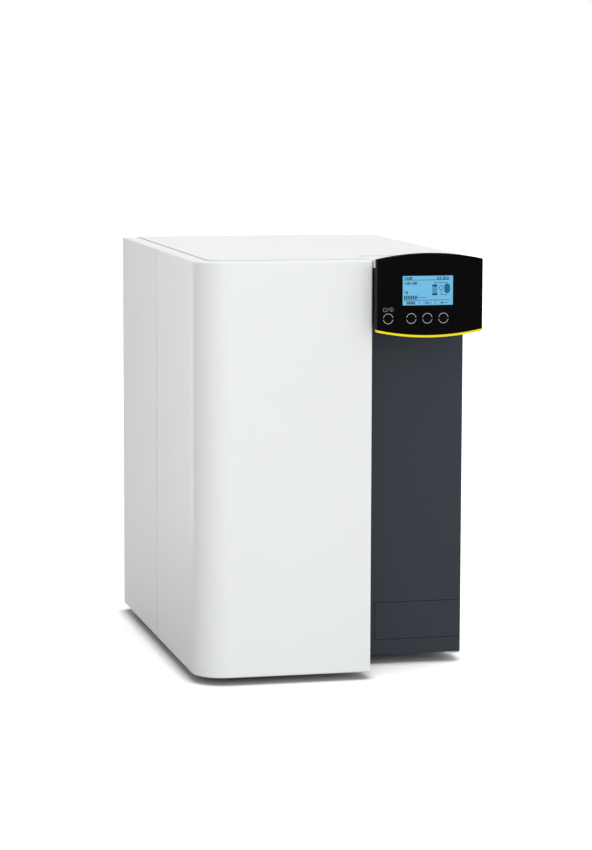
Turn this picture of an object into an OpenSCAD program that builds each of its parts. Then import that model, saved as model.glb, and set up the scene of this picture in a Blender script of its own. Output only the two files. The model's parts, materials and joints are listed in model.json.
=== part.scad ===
// Benchtop reverse osmosis system: a tall cabinet with a wrap-around door on the left,
// a dark recessed column on the right and a control head that overhangs the recess.
// Millimetres. X runs to the right, Y to the back and Z up, from the bench under the middle.

/* [Housing] */
// Width across the two side panels
body_w = 348; // [330:1:420]
// Depth from the door's face to the rear rims
body_d = 508; // [480:1:620]
// Height of the side panels
body_h = 494; // [450:1:620]
// Clear height under the panels
foot_gap = 9; // [6:0.5:20]
// Wall of the moulded panels
wall = 3; // [2.5:0.1:3.2]
// Thickness of the sheet metal
sheet = 2; // [1.5:0.1:3]
// Radius of the upright front left corner
corner_r = 38; // [28:1:60]
// Rounding of the panels' outer edges
edge_r = 2; // [1:0.1:2.4]
// Visible gap between two panels
seam = 1.2; // [0.6:0.1:2]
// Fitting gap between a panel and the sheet metal inside it
fit_gap = 0.5; // [0.3:0.1:1]
// How far the lid stands proud of the rims
lid_proud = 0.8; // [0:0.1:2]
// Rim beside the lid on the left
rim_side = 19; // [16:0.5:26]
// Rim in front of the lid
rim_front = 29; // [24:0.5:36]
// Rim beside the lid on the right
rim_right = 46; // [30:1:60]
// Inner corner radius of the rims
rim_r = 16; // [8:1:26]
// Inward return of the side panels at the rear
rear_lip = 12; // [6:1:18]
// Depth of the rear recess that guards the connections
rear_recess = 32; // [28:1:45]

/* [Door] */
// Width of the door's front
door_w = 211.6; // [190:0.2:240]
// Length of the door's left side
door_side = 263; // [230:1:300]
// Depth of the return along the door's free edge
door_lip = 18; // [8:1:20]
// Width of the inward flange of that return
lip_flange = 22; // [18:1:30]
// Depth of the ribs behind the door's skin
rib_d = 8; // [4:1:10]
// Thickness of the ribs
rib_t = 2.4; // [1.6:0.2:3]

/* [Hinge] */
// Radius of the hinge barrel along the door's rear edge
barrel_r = 2.4; // [2.4:0.1:4]
// Gap between the hinge barrel and the panel behind it
door_gap = 0.6; // [0.5:0.1:1.5]
// Height of the fixed eye at each end of the barrel
knuckle_h = 9; // [8:0.5:14]
// Radius of the hinge pins
pin_r = 1.2; // [0.8:0.1:1.5]
// Length of each pin inside the barrel
pin_l = 16; // [10:1:30]
// Radial running clearance of the pins
pin_clear = 0.05; // [0.02:0.01:0.1]
// Gap between barrel and eye
hinge_gap = 0.4; // [0.3:0.1:0.8]
// Distance of the bulkhead behind the hinge axis
hinge_set = 7; // [6:0.5:12]

/* [Column] */
// Depth of the recess under the control head
niche_d = 83; // [70:1:110]
// Thickness of the column panel
column_t = 4; // [3.5:0.1:6]
// Height of the column panel's lower edge over the door's
column_lift = 3; // [2:0.5:10]
// Width of the blanking plate
plate_w = 109.2; // [80:0.2:120]
// Height of the blanking plate
plate_h = 45.5; // [30:0.5:60]
// Height of the blanking plate over the door's lower edge
plate_z = 22.3; // [12:0.1:40]
// Thickness of the blanking plate
plate_t = 2.4; // [1.6:0.1:2.8]
// Gap around the blanking plate
plate_gap = 0.6; // [0.3:0.1:1]

/* [Control head] */
// Gap between the door and the head
head_gap = 0.8; // [0.6:0.1:3]
// Step of the head inside the right side
head_side = 6.6; // [0:0.1:8]
// How far the face stands proud of the door
head_proud = 18; // [0.5:0.5:24]
// Rise of the face's upper corners over the lid
head_rise = 2.3; // [0:0.1:6]
// Height of the face along its sides
head_h = 85.6; // [84:0.1:110]
// Bow of the face's upper edge
bow_top = 6.9; // [4:0.1:14]
// Bow of the face's lower edge
bow_low = 7; // [4:0.5:14]
// Thickness of the face
face_t = 9.5; // [4:0.5:12]
// Height of the accent strip
accent_h = 2.6; // [2:0.1:6]
// Thickness of the white cover at its sides
roof_t = 8; // [6:0.5:12]
// Wall of the head's housing
head_wall = 2.4; // [1.6:0.1:3]
// Rise of the housing's underside from front to back
under_rise = 22; // [8:1:30]
// Groove between the white cover and the lid
neck_gap = 2.4; // [1:0.1:4]

/* [Display and keys] */
// Width of the screen
screen_w = 61.6; // [50:0.2:80]
// Height of the screen
screen_h = 34.8; // [28:0.2:40]
// Distance of the screen's middle from the face's middle, to the left
screen_shift = 2.65; // [0:0.05:4]
// Height of the screen's lower edge over the face's lower corners
screen_z = 31.2; // [30:0.1:36]
// Radius of a key
key_r = 6.2; // [5:0.1:7]
// Gap around a key
key_gap = 0.3; // [0.2:0.05:0.5]
// Travel of a key
key_travel = 0.6; // [0.3:0.1:1]
// Height of the keys over the face's lower corners
key_z = 15.8; // [13:0.1:17]
// Distance of the standby key from the face's left edge
standby_x = 13.5; // [12:0.1:18]
// Distance of the middle soft key from the face's middle, to the left
key_shift = 3.1; // [0:0.1:4]
// Distance between two soft keys
key_pitch = 19.7; // [16:0.1:22]

/* [Cartridges] */
// Radius of the pretreatment cartridge
filter_r = 46; // [36:1:50]
// Distance of the pretreatment cartridge from the partition
filter_stand = 10; // [6:1:16]
// Distance of its axis behind the door's face
filter_y = 95; // [90:1:110]
// Radius of a pressure vessel
vessel_r = 30; // [24:1:34]
// Wall of a pressure vessel
vessel_wall = 4; // [3:0.5:6]
// Distance of a vessel from the bulkhead
vessel_stand = 10; // [8:1:16]
// Distance between the two vessels' axes
vessel_pitch = 98; // [90:1:104]
// Radius of the tubes
tube_r = 4; // [3:0.5:5]
// Radius of the tubes' bends, at the middle of the tube
bend_r = 18; // [14:1:20]
// Free height over the highest tubes
tube_headroom = 30; // [20:1:50]
// Step in height between two layers of tubes
tube_layer = 20; // [16:1:26]
// Height of the lowest tubes over the base pan
tube_low = 34; // [30:1:50]

/* [Water ports] */
// Radius of the tube socket in a port
socket_r = 4.1; // [3.1:0.1:5.1]
// Depth of the tube socket
socket_l = 17; // [12:1:20]
// Length of a port outside the rear panel
port_l = 24; // [20:1:26]
// Distance between two ports
port_pitch = 65; // [60:1:80]

/* [Feet] */
// Radius of a foot
foot_r = 15; // [10:0.5:20]
// Distance of the right front foot behind the column
foot_back = 85; // [30:1:110]

/* [Hidden] */
$fn = 72;
eps = 0.01;
arc_sides = 720;

x_l = -body_w / 2;
x_r = body_w / 2;
overall_d = body_d + head_proud;
y_face = -overall_d / 2;
y_f = y_face + head_proud;
y_b = overall_d / 2;
z_b = foot_gap;
z_t = foot_gap + body_h;
far = body_w + body_d;

x_door = x_l + door_w;
y_niche = y_f + niche_d;
y_seam = y_f + door_side;
x_hinge = x_l + barrel_r;
y_hinge = y_seam - door_gap - barrel_r;
y_bulk = y_hinge + hinge_set;
y_rear = y_b - rear_recess;
y_lid = y_f + rim_front + seam;
x_lid = x_l + rim_side + seam;
y_step = y_niche - sheet;
y_column = y_niche + column_t;

z_pan = z_b + wall;
z_floor = z_pan + sheet;
pan_lip = 15;
lid_hood = 22;
z_tray = z_floor + wall;
z_under_lid = z_t - wall;

x_h0 = x_door + head_gap;
x_h1 = x_r - head_side;
head_w = x_h1 - x_h0;
x_head = (x_h0 + x_h1) / 2;
z_h1 = z_t + head_rise;
z_h0 = z_h1 - head_h;
top_r = (head_w * head_w / 4 + bow_top * bow_top) / (2 * bow_top);
low_r = (head_w * head_w / 4 + bow_low * bow_low) / (2 * bow_low);
z_top_axis = z_h1 + bow_top - top_r;
z_low_axis = z_h0 - bow_low + low_r;
y_back = y_face + face_t;
y_neck = y_step - neck_gap;
head_inset = 1.2;
z_roof = z_t - roof_t;

screen_x0 = x_head - screen_shift - screen_w / 2;
screen_z0 = z_h0 + screen_z;
screen_lap = 4;
screen_t = 3;
key_flange = 1.3;
key_flange_t = 1.2;
key_rest = 0.2;
dome_h = 0.8;
dome_r = 4;
board_t = 1.6;
key_depth = 7;
key_board_half = 8;
y_key_board = y_back + key_depth;
x_keys = x_head - key_shift;
key_centres = [x_h0 + standby_x, x_keys - key_pitch, x_keys, x_keys + key_pitch];
key_stem_r = 2;
key_dish = 0.35;
dish_r = 40;
z_keys = z_h0 + key_z;

strike_t = 1.5;
catch_gap = 0.3;
catch_h = 34;
catch_w = 16;
x_catch = x_door - (lip_flange + wall) / 2;
catch_levels = [z_b + body_h * 0.24, z_b + body_h * 0.76];

peg_r = 2.5;
plate_pegs = [x_r - plate_w * 0.85, x_r - plate_w * 0.15];
cable_r = 9;
z_cable = z_roof - 30;
vent_w = 70;
vent_rows = 8;
vent_edge = 46;
vent_drop = 120;
fold = 18;

stub_r = 7;
stub_l = 12;
union_r = 8;
z_high = z_under_lid - tube_headroom;
z_link = z_high - tube_layer;
z_brine = z_link - tube_layer;
z_vessel_stub = z_brine - bend_r - 6;
z_low = z_floor + tube_low;
z_vessel_foot = z_low + bend_r + 6;
cap_h = 24;
cap_lap = 14;
cap_wall = 4;
z_cap_low = z_vessel_foot + stub_l;
z_cap_high = z_vessel_stub - stub_l;
vessel_z0 = z_cap_low + cap_h - cap_lap;
vessel_z1 = z_cap_high - cap_h + cap_lap;
y_vessel = y_bulk - vessel_stand - vessel_r;
x_vessel_2 = x_door - wall - vessel_r - cap_wall - 14;
x_vessel_1 = x_vessel_2 - vessel_pitch;
brine_off = vessel_r * 0.55;
x_filter = x_door - wall - filter_stand - filter_r;
y_filter = y_f + filter_y;
filter_off = 18;
z_filter_stub = z_high - bend_r - 6;
filter_cap_h = 40;
clip_slack = 0.2;
clip_band = 3;
clip_h = 16;
clip_foot = 20;
filter_clip_low = 90;
filter_clip_drop = 60;
vessel_clip_in = 40;
tray_ring_t = 3;
tray_ring_h = 22;
tray_ring_gap = 0.4;
z_filter_cap = z_filter_stub - stub_l - filter_cap_h;

union_hex = union_r + 2.4;
union_ends = [y_bulk - stub_l, y_bulk + sheet + stub_l];
union_places = [
    [x_vessel_1, z_low], [x_vessel_2, z_low], [x_vessel_2, z_link],
    [x_filter - filter_off, z_high], [x_filter + filter_off, z_high]
];
tee_r = 8;
cell_l = 60;
cell_r = 12;
cell_neck = 10;
cell_plug = 26;
y_cell = union_ends[1] + 24;

port_x = x_vessel_2;
port_levels = [z_low, z_low + port_pitch, z_low + 2 * port_pitch];
port_tail = 24;
y_tail = y_rear - sheet - port_tail;
valve_d = 52;
valve_half = 15;
coil_r = 14;
coil_l = 30;
coil_nut = 4;
feed_side = 46;
feed_front = 30;
y_valve = y_tail - valve_d;

pump_r = 44;
pump_l = 46;
pump_room = 52;
motor_r = 37;
motor_cap = 6;
motor_clear = 2;
y_pump = y_bulk + sheet + pump_room;
y_motor = y_pump + pump_l;
motor_l = y_rear - sheet - motor_clear - motor_cap - y_motor;
fin_pitch = 8;
fin_t = 4;
saddle_w = 16;
saddle_inset = 18;
mount_h = 12;
mount_r = 8;
pump_drop = 24;
z_pump = z_low + pump_drop;
pump_x = x_vessel_1 + 10;
pump_in = [pump_x, y_pump + pump_l / 2];

inlet_edge = 62;
inlet_lift = 62;
switch_step = 48;
data_step = 52;
inlet_x = x_r - inlet_edge;
inlet_z = z_floor + inlet_lift;
switch_z = inlet_z + switch_step;
data_z = switch_z + data_step;
flange_t = 2.4;
inlet_half = [14, 11];
inlet_cavity = [12, 8.5];
inlet_flange = [25, 14];
switch_half = [8, 12.5];
switch_flange = [12, 16];
data_half = [8.5, 4.2];
rocker_r = 10;
rocker_w = 11;
rocker_tilt = 8;
rocker_face = 5;
rocker_sink = 5.5;
y_rocker = y_rear + flange_t - rocker_sink;
trunnion_r = 1.5;

supply_edge = 15;
supply_gap = 54;
supply_l = 130;
supply_h = 42;
supply_lug = 12;
board_edge = 20;
board_lift = 60;
board_h = 180;
board_stand = 14;
board_post = 5;
chip_half = 12;
chip_t = 6;
capacitor_r = 7;
capacitor_h = 22;

white = "whitesmoke";
dark = "#3c4148";

// Shared shapes

// A box between two values on each axis
module span(x, y, z) {
    translate([x[0], y[0], z[0]])
        cube([x[1] - x[0], y[1] - y[0], z[1] - z[0]]);
}

// A box from front to back around a middle, with half its width and half its height
module block(x, y, z, half) {
    span([x - half[0], x + half[0]], y, [z - half[1], z + half[1]]);
}

// An upright rod
module rod_z(x, y, z, r) {
    translate([x, y, z[0]])
        cylinder(r = r, h = z[1] - z[0]);
}

// A rod from front to back
module rod_y(x, y, z, r, sides = 0) {
    translate([x, y[1], z])
        rotate([90, 0, 0])
            cylinder(r = r, h = y[1] - y[0], $fn = sides > 0 ? sides : $fn);
}

// A rod from left to right
module rod_x(x, y, z, r) {
    translate([x[0], y, z])
        rotate([0, 90, 0])
            cylinder(r = r, h = x[1] - x[0]);
}

// Everything inside the cabinet's front left corner, seen from above
module plan(side, front, r) {
    translate([x_l + side + r, y_f + front])
        square(far);
    translate([x_l + side, y_f + front + r])
        square(far);
    translate([x_l + side + r, y_f + front + r])
        circle(r);
}

// Section of a panel: its skin and the rims at its top and bottom, outer edges rounded
module panel_section(top_rim, low_rim) {
    difference() {
        union() {
            translate([0, z_b + edge_r])
                square([wall, body_h - 2 * edge_r]);
            translate([edge_r, z_t - wall])
                square([top_rim - edge_r, wall]);
            translate([edge_r, z_b])
                square([low_rim - edge_r, wall]);
            for (z = [z_b + edge_r, z_t - edge_r])
                translate([edge_r, z])
                    circle(edge_r);
        }
        translate([wall, z_b + wall])
            square([top_rim + low_rim, body_h - 2 * wall]);
    }
}

// A left side panel between two places on Y
module side_run(y, top_rim, low_rim) {
    translate([x_l, y[1], 0])
        rotate([90, 0, 0])
            linear_extrude(y[1] - y[0])
                panel_section(top_rim, low_rim);
}

// The round edge that is cut from an upright corner pointing to the right and the front
module edge_cutter(z) {
    translate([0, 0, z[0]])
        linear_extrude(z[1] - z[0])
            difference() {
                translate([-edge_r, -eps])
                    square(edge_r + eps);
                translate([-edge_r, edge_r])
                    circle(edge_r);
            }
}

// A bowed surface along Y that starts at a height behind the face and climbs by an angle;
// its axis lies above the surface by drop, or below it where drop is negative
module bowed(z, drop, climb) {
    translate([x_head, y_back, z])
        rotate([climb, 0, 0])
            translate([0, 2 * niche_d, drop])
                rotate([90, 0, 0])
                    cylinder(r = abs(drop), h = 4 * niche_d, $fn = arc_sides);
}

// The head's bowed outline between two planes, with its lower edge raised
module barrel(y, raise) {
    intersection() {
        span([x_h0, x_h1], y, [z_h0 - bow_low, z_h1 + bow_top]);
        rod_y(x_head, y, z_top_axis, top_r, arc_sides);
        rod_y(x_head, y, z_low_axis + raise, low_r, arc_sides);
    }
}

// A tube through hand-placed corner points, with round bends
function unit(v) = v / norm(v);
function leg(p, i) = unit(p[i + 1] - p[i]);
function cut_back(p, i) = i == 0 || i == len(p) - 1 ? 0 : bend_r;
module tube(p) {
    for (i = [0 : len(p) - 2]) {
        d = leg(p, i);
        a = p[i] + d * cut_back(p, i);
        b = p[i + 1] - d * cut_back(p, i + 1);
        side = abs(d[2]) > 0.5 ? [1, 0, 0] : [0, 0, 1];
        u = cross(side, d);
        w = cross(d, u);
        multmatrix([
            [u[0], w[0], d[0], a[0]],
            [u[1], w[1], d[1], a[1]],
            [u[2], w[2], d[2], a[2]],
            [0, 0, 0, 1]
        ])
            cylinder(r = tube_r, h = norm(b - a));
    }
    for (i = [1 : 1 : len(p) - 2]) {
        d = leg(p, i - 1);
        e = leg(p, i);
        c = p[i] + (e - d) * bend_r;
        n = cross(-e, d);
        multmatrix([
            [-e[0], d[0], n[0], c[0]],
            [-e[1], d[1], n[1], c[1]],
            [-e[2], d[2], n[2], c[2]],
            [0, 0, 0, 1]
        ])
            rotate_extrude(angle = 90)
                translate([bend_r, 0])
                    circle(tube_r);
    }
}

// A spring clip, open to the front, with its foot along an angle
module clip(x, y, z, r, stand, foot_angle) {
    opening = 110;
    translate([x, y, z]) {
        rotate([0, 0, -90 + opening / 2])
            rotate_extrude(angle = 360 - opening)
                translate([r + clip_slack, 0])
                    square([clip_band, clip_h]);
        rotate([0, 0, foot_angle])
            difference() {
                translate([r, -clip_foot / 2, 0])
                    cube([stand, clip_foot, clip_h]);
                translate([0, 0, -1])
                    cylinder(r = r + clip_slack + clip_band / 2, h = clip_h + 2);
            }
    }
}

// Cabinet

module pan_outline() {
    intersection() {
        plan(rim_side + seam, rim_front + seam, rim_r);
        translate([x_l, y_f])
            square([door_w, y_bulk - y_f + eps]);
    }
    translate([x_l + wall + fit_gap, y_bulk])
        square([body_w - 2 * (wall + fit_gap), y_rear - sheet - y_bulk]);
    translate([x_door - wall, y_column])
        square([x_r - wall - fit_gap - x_door + wall, y_rear - sheet - y_column]);
}

module base_pan() {
    x0 = x_l + wall + fit_gap;
    x1 = x_r - wall - fit_gap;
    y1 = y_rear - sheet;
    lip = [z_pan, z_floor + pan_lip];
    color("silver") {
        translate([0, 0, z_pan])
            linear_extrude(sheet)
                pan_outline();
        translate([0, 0, z_pan])
            linear_extrude(sheet + pan_lip)
                intersection() {
                    difference() {
                        plan(rim_side + seam, rim_front + seam, rim_r);
                        plan(rim_side + seam + sheet, rim_front + seam + sheet, rim_r - sheet);
                    }
                    translate([x_l, y_f])
                        square([door_w - wall, y_bulk - y_f]);
                }
        span([x0, x0 + sheet], [y_bulk + sheet, y1], lip);
        span([x1 - sheet, x1], [y_column, y1], lip);
        span([x0, x1], [y1 - sheet, y1], lip);
        span([x_door, x1], [y_column, y_column + sheet], lip);
    }
}

module rubber_feet() {
    rear_y = y_rear - foot_r - 20;
    left_x = x_lid + foot_r + 8;
    right_x = x_r - rim_side - foot_r - 4;
    places = [
        [left_x, y_lid + foot_r + 8], [right_x, y_column + foot_back],
        [left_x, rear_y], [right_x, rear_y]
    ];
    bevel = 2;
    color("#222222")
        for (p = places)
            translate([p[0], p[1], 0])
                rotate_extrude()
                    polygon([
                        [0, 0], [foot_r - bevel, 0], [foot_r, bevel],
                        [foot_r, z_pan - bevel], [foot_r - bevel, z_pan], [0, z_pan]
                    ]);
}

// Rows of round-ended air slots in the rear panel
module vents(x0) {
    slot_h = 3.2;
    pitch = 8;
    for (i = [0 : vent_rows - 1])
        translate([x0, y_rear - 2 * sheet, z_under_lid - vent_drop + i * pitch]) {
            cube([vent_w, 3 * sheet, slot_h]);
            for (x = [0, vent_w])
                translate([x, 0, slot_h / 2])
                    rotate([-90, 0, 0])
                        cylinder(d = slot_h, h = 3 * sheet);
        }
}

module rear_panel() {
    x0 = x_l + wall + fit_gap;
    x1 = x_r - wall - fit_gap;
    through = [y_rear - 2 * sheet, y_rear + sheet];
    color("gainsboro")
        difference() {
            union() {
                span([x0, x1], [y_rear - sheet, y_rear], [z_floor, z_under_lid]);
                span([x0, x1], [y_rear - fold, y_rear], [z_under_lid - sheet, z_under_lid]);
            }
            for (z = port_levels)
                rod_y(port_x, through, z, union_r + fit_gap);
            block(inlet_x, through, inlet_z, inlet_half + fit_gap * [1, 1]);
            block(inlet_x, through, switch_z, switch_half + fit_gap * [1, 1]);
            block(inlet_x, through, data_z, data_half + fit_gap * [1, 1]);
            vents(x_l + vent_edge);
            vents(x_r - vent_edge - vent_w);
        }
}

module left_rear_panel() {
    color(white)
        difference() {
            union() {
                side_run([y_seam, y_b], rim_side, rim_side);
                span([x_hinge + barrel_r + hinge_gap, x_l + rim_side],
                    [y_hinge + hinge_gap, y_seam + seam], [z_under_lid, z_t]);
                span([x_l, x_l + rear_lip], [y_b - wall, y_b], [z_b + edge_r, z_t - edge_r]);
            }
            translate([x_l, y_b, 0])
                rotate([0, 0, 180])
                    edge_cutter([z_b - 1, z_t + 1]);
        }
}

module right_panel() {
    color(white)
        difference() {
            union() {
                mirror([1, 0, 0])
                    side_run([y_step, y_b], rim_right, rim_side);
                span([x_r - rear_lip, x_r], [y_b - wall, y_b], [z_b + edge_r, z_t - edge_r]);
            }
            span([0, x_r + 1], [y_step - 1, y_column + plate_gap], [z_b - 1, z_under_lid]);
            translate([x_r, y_b, 0])
                mirror([0, 1, 0])
                    edge_cutter([z_b - 1, z_t + 1]);
        }
}

module lid_outline() {
    difference() {
        intersection() {
            plan(rim_side + seam, rim_front + seam, rim_r);
            translate([x_l, y_f])
                square([body_w - rim_right - seam, y_b - y_f]);
        }
        translate([x_door, y_f - 1])
            square([far, y_step - y_f + 1]);
    }
}

module top_lid() {
    color(white) {
        translate([0, 0, z_under_lid])
            linear_extrude(wall + lid_proud)
                lid_outline();
        span([x_lid, x_r - rim_right - seam], [y_b - wall, y_b], [z_t - lid_hood, z_under_lid + eps]);
    }
}

module bulkhead() {
    color("lightgray")
        difference() {
            union() {
                span([x_l + wall + fit_gap, x_door - wall], [y_bulk, y_bulk + sheet],
                    [z_floor, z_under_lid]);
                span([x_lid, x_door - wall], [y_bulk, y_bulk + fold],
                    [z_under_lid - sheet, z_under_lid]);
            }
            for (u = union_places)
                rod_y(u[0], [y_bulk - 1, y_bulk + sheet + 1], u[1], union_r + fit_gap / 2);
        }
}

module partition() {
    flange = lip_flange + wall;
    color(dark) {
        span([x_door - wall, x_door], [y_lid, y_bulk + sheet], [z_floor, z_under_lid]);
        span([x_door - flange, x_door], [y_lid, y_lid + wall],
            [z_floor + pan_lip + 1, z_under_lid]);
    }
}

module column_panel() {
    color(dark)
        difference() {
            span([x_door, x_r], [y_niche, y_column], [z_b + column_lift, z_under_lid]);
            span([x_r - plate_w - plate_gap, x_r + 1], [y_niche - 1, y_niche + plate_t],
                [z_b + plate_z - plate_gap, z_b + plate_z + plate_h + plate_gap]);
            for (x = plate_pegs)
                rod_y(x, [y_niche, y_column + 1], z_b + plate_z + plate_h / 2, peg_r + pin_clear);
            rod_y(x_head, [y_niche - 1, y_column + 1], z_cable, cable_r);
            translate([x_r, y_niche, 0])
                edge_cutter([z_b, z_t]);
        }
}

module blanking_plate() {
    z = [z_b + plate_z, z_b + plate_z + plate_h];
    color(dark)
        difference() {
            union() {
                span([x_r - plate_w, x_r], [y_niche, y_niche + plate_t], z);
                for (x = plate_pegs)
                    rod_y(x, [y_niche + plate_t - eps, y_column + 1], (z[0] + z[1]) / 2, peg_r);
            }
            translate([x_r, y_niche, 0])
                edge_cutter([z_b, z_t]);
        }
}

// Door

// The door's skin with short rims, swept along the front, round the corner and down the side
module door_skin() {
    root = wall + edge_r;
    side_run([y_f + corner_r, y_hinge], root, root);
    translate([x_l + corner_r, y_f, 0])
        rotate([90, 0, 90])
            linear_extrude(door_w - corner_r)
                panel_section(root, root);
    translate([x_l + corner_r, y_f + corner_r, 0])
        rotate([0, 0, 180])
            rotate_extrude(angle = 90)
                translate([corner_r, 0])
                    mirror([1, 0])
                        panel_section(root, root);
}

// A flat band that follows the inside of the door
module door_band(from, side, front, r, z) {
    translate([0, 0, z[0]])
        linear_extrude(z[1] - z[0])
            intersection() {
                difference() {
                    plan(from, from, corner_r - from);
                    plan(side, front, r);
                }
                translate([x_l, y_f])
                    square([door_w, y_hinge - y_f]);
            }
}

module front_door() {
    ribs = 3;
    bands = 4;
    depth = wall + rib_d;
    inner = [z_b + wall - eps, z_t - wall + eps];
    bore_r = pin_r + pin_clear;
    low_end = z_b + knuckle_h + hinge_gap;
    high_end = z_t - knuckle_h - hinge_gap;
    front_run = door_w - corner_r - lip_flange - wall;
    side_length = y_hinge - y_f - corner_r;
    color(white)
        difference() {
            union() {
                door_skin();
                for (z = [z_b, z_t - wall])
                    door_band(wall, rim_side, rim_front, rim_r, [z, z + wall]);
                for (i = [1 : bands])
                    let (z = z_b + i * body_h / (bands + 1))
                        door_band(wall - eps, depth, depth, corner_r - depth, [z, z + rib_t]);
                for (i = [0 : ribs - 1]) {
                    x = x_l + corner_r + (i + 0.5) * front_run / ribs;
                    y = y_f + corner_r + (i + 0.5) * side_length / ribs;
                    span([x, x + rib_t], [y_f + wall - eps, y_f + depth], inner);
                    span([x_l + wall - eps, x_l + depth], [y, y + rib_t], inner);
                }
                span([x_door - wall, x_door], [y_f + edge_r, y_f + door_lip], inner);
                span([x_door - lip_flange, x_door], [y_f + door_lip - wall, y_f + door_lip], inner);
                rod_z(x_hinge, y_hinge, [z_b + edge_r, z_t - edge_r], barrel_r);
            }
            for (z = [[z_b - 1, low_end], [high_end, z_t + 1]])
                span([x_l - 1, x_hinge + barrel_r + hinge_gap],
                    [y_hinge - barrel_r - hinge_gap, y_hinge + barrel_r + 1], z);
            rod_z(x_hinge, y_hinge, [low_end - 1, low_end + pin_l + 1], bore_r);
            rod_z(x_hinge, y_hinge, [high_end - pin_l - 1, high_end + 1], bore_r);
            translate([x_door, y_f, 0])
                edge_cutter([z_b - 1, z_t + 1]);
        }
}

module hinge_bracket() {
    reach = rim_side - barrel_r;
    clear_wall = max(wall + fit_gap - barrel_r, 0);
    tab = 34;
    tab_x = [barrel_r + 2, reach];
    difference() {
        union() {
            cylinder(r = barrel_r, h = knuckle_h);
            span([clear_wall, reach], [0, hinge_set], [wall + hinge_gap, knuckle_h]);
            span(tab_x, [hinge_set - wall, hinge_set], [wall + hinge_gap, knuckle_h + tab]);
        }
        translate([0, 0, edge_r])
            cylinder(r = pin_r + eps, h = knuckle_h);
    }
    for (i = [0.45, 0.8])
        rod_y((tab_x[0] + tab_x[1]) / 2, [hinge_set - wall - 2, hinge_set - wall + eps],
            knuckle_h + tab * i, 3);
}

module at_hinges() {
    translate([x_hinge, y_hinge, z_b])
        children();
    translate([x_hinge, y_hinge, z_t])
        mirror([0, 0, 1])
            children();
}

module hinge_brackets() {
    color("white")
        at_hinges()
            hinge_bracket();
}

module hinge_pins() {
    color("silver")
        at_hinges()
            translate([0, 0, edge_r])
                cylinder(r = pin_r, h = knuckle_h - edge_r + hinge_gap + pin_l);
}

module catch_magnets() {
    y = [y_f + door_lip + strike_t + catch_gap, y_lid];
    color("dimgray")
        for (z = catch_levels)
            block(x_catch, y, z, [catch_w, catch_h] / 2);
}

module strike_plates() {
    y = [y_f + door_lip, y_f + door_lip + strike_t];
    color("silver")
        for (z = catch_levels)
            block(x_catch, y, z, [catch_w, catch_h] / 2);
}

// Control head

module head_body(inset, y, z_top) {
    climb = atan(under_rise / (y_niche - y_back));
    intersection() {
        span([x_h0 + inset, x_h1 - inset], y, [z_h0 - bow_low, z_top]);
        bowed(z_low_axis - low_r + inset, low_r, climb);
    }
}

module head_housing() {
    color(dark)
        difference() {
            head_body(head_inset, [y_back, y_niche], z_roof);
            head_body(head_inset + head_wall, [y_back - 1, y_niche - head_wall], z_roof + 1);
            rod_y(x_head, [y_niche - 2 * head_wall, y_niche + 1], z_cable, cable_r);
        }
}

// White cover: a flat roof level with the lid, and a crown that dies away behind the face
module head_cover() {
    rise = head_rise + bow_top - 0.5;
    fall = atan(rise / (y_neck - y_back));
    groove = 4;
    color(white) {
        span([x_h0, x_h1], [y_back, y_neck], [z_roof, z_t]);
        span([x_h0, x_h1], [y_neck - eps, y_niche], [z_roof, z_t - groove]);
        intersection() {
            span([x_h0, x_h1], [y_back, y_neck], [z_t - 1, z_h1 + bow_top]);
            bowed(z_t + rise, -top_r, -fall);
        }
    }
}

module head_face() {
    post_r = 2.5;
    posts = [(key_centres[0] + key_centres[1]) / 2, key_centres[3] + key_pitch * 0.6];
    color("#0a0a0a")
        difference() {
            union() {
                barrel([y_face, y_back], accent_h + pin_clear);
                for (x = posts)
                    rod_y(x, [y_back - eps, y_key_board], z_keys, post_r);
            }
            span([screen_x0, screen_x0 + screen_w], [y_face - 1, y_back + 1],
                [screen_z0, screen_z0 + screen_h]);
            for (x = key_centres)
                rod_y(x, [y_face - 1, y_back + 1], z_keys, key_r + key_gap);
        }
}

module accent_strip() {
    color("gold")
        difference() {
            intersection() {
                span([x_h0, x_h1], [y_face, y_back], [z_h0 - bow_low, z_h0 + accent_h]);
                rod_y(x_head, [y_face, y_back], z_low_axis, low_r, arc_sides);
            }
            rod_y(x_head, [y_face - 1, y_back + 1], z_low_axis + accent_h, low_r, arc_sides);
        }
}

module screen() {
    side = 0.15;
    color("skyblue") {
        span([screen_x0 + side, screen_x0 + screen_w - side], [y_face + 0.2, y_back + eps],
            [screen_z0 + side, screen_z0 + screen_h - side]);
        span([screen_x0 - screen_lap, screen_x0 + screen_w + screen_lap],
            [y_back, y_back + screen_t],
            [screen_z0 - screen_lap, screen_z0 + screen_h + screen_lap]);
    }
}

module screen_board() {
    y0 = y_back + screen_t;
    over = screen_lap + 3;
    driver_side = 12;
    driver_pitch = 19;
    driver_x = screen_x0 + driver_side / 2;
    driver_z = screen_z0 + driver_side;
    driver_t = 3.4;
    color("darkgreen") {
        span([screen_x0 - over, screen_x0 + screen_w + over], [y0, y0 + board_t],
            [screen_z0 - screen_lap, screen_z0 + screen_h + over]);
        for (i = [0 : 2])
            span([driver_x + i * driver_pitch, driver_x + i * driver_pitch + driver_side],
                [y0 + board_t - eps, y0 + board_t + driver_t], [driver_z, driver_z + driver_side]);
    }
}

module key_board() {
    color("darkgreen")
        span([x_h0 + 3 * head_wall, x_h1 - 3 * head_wall], [y_key_board, y_key_board + board_t],
            [z_keys - key_board_half, z_keys + key_board_half]);
}

module key_domes() {
    color("gainsboro")
        for (x = key_centres)
            rod_y(x, [y_key_board - dome_h, y_key_board], z_keys, dome_r);
}

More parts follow.
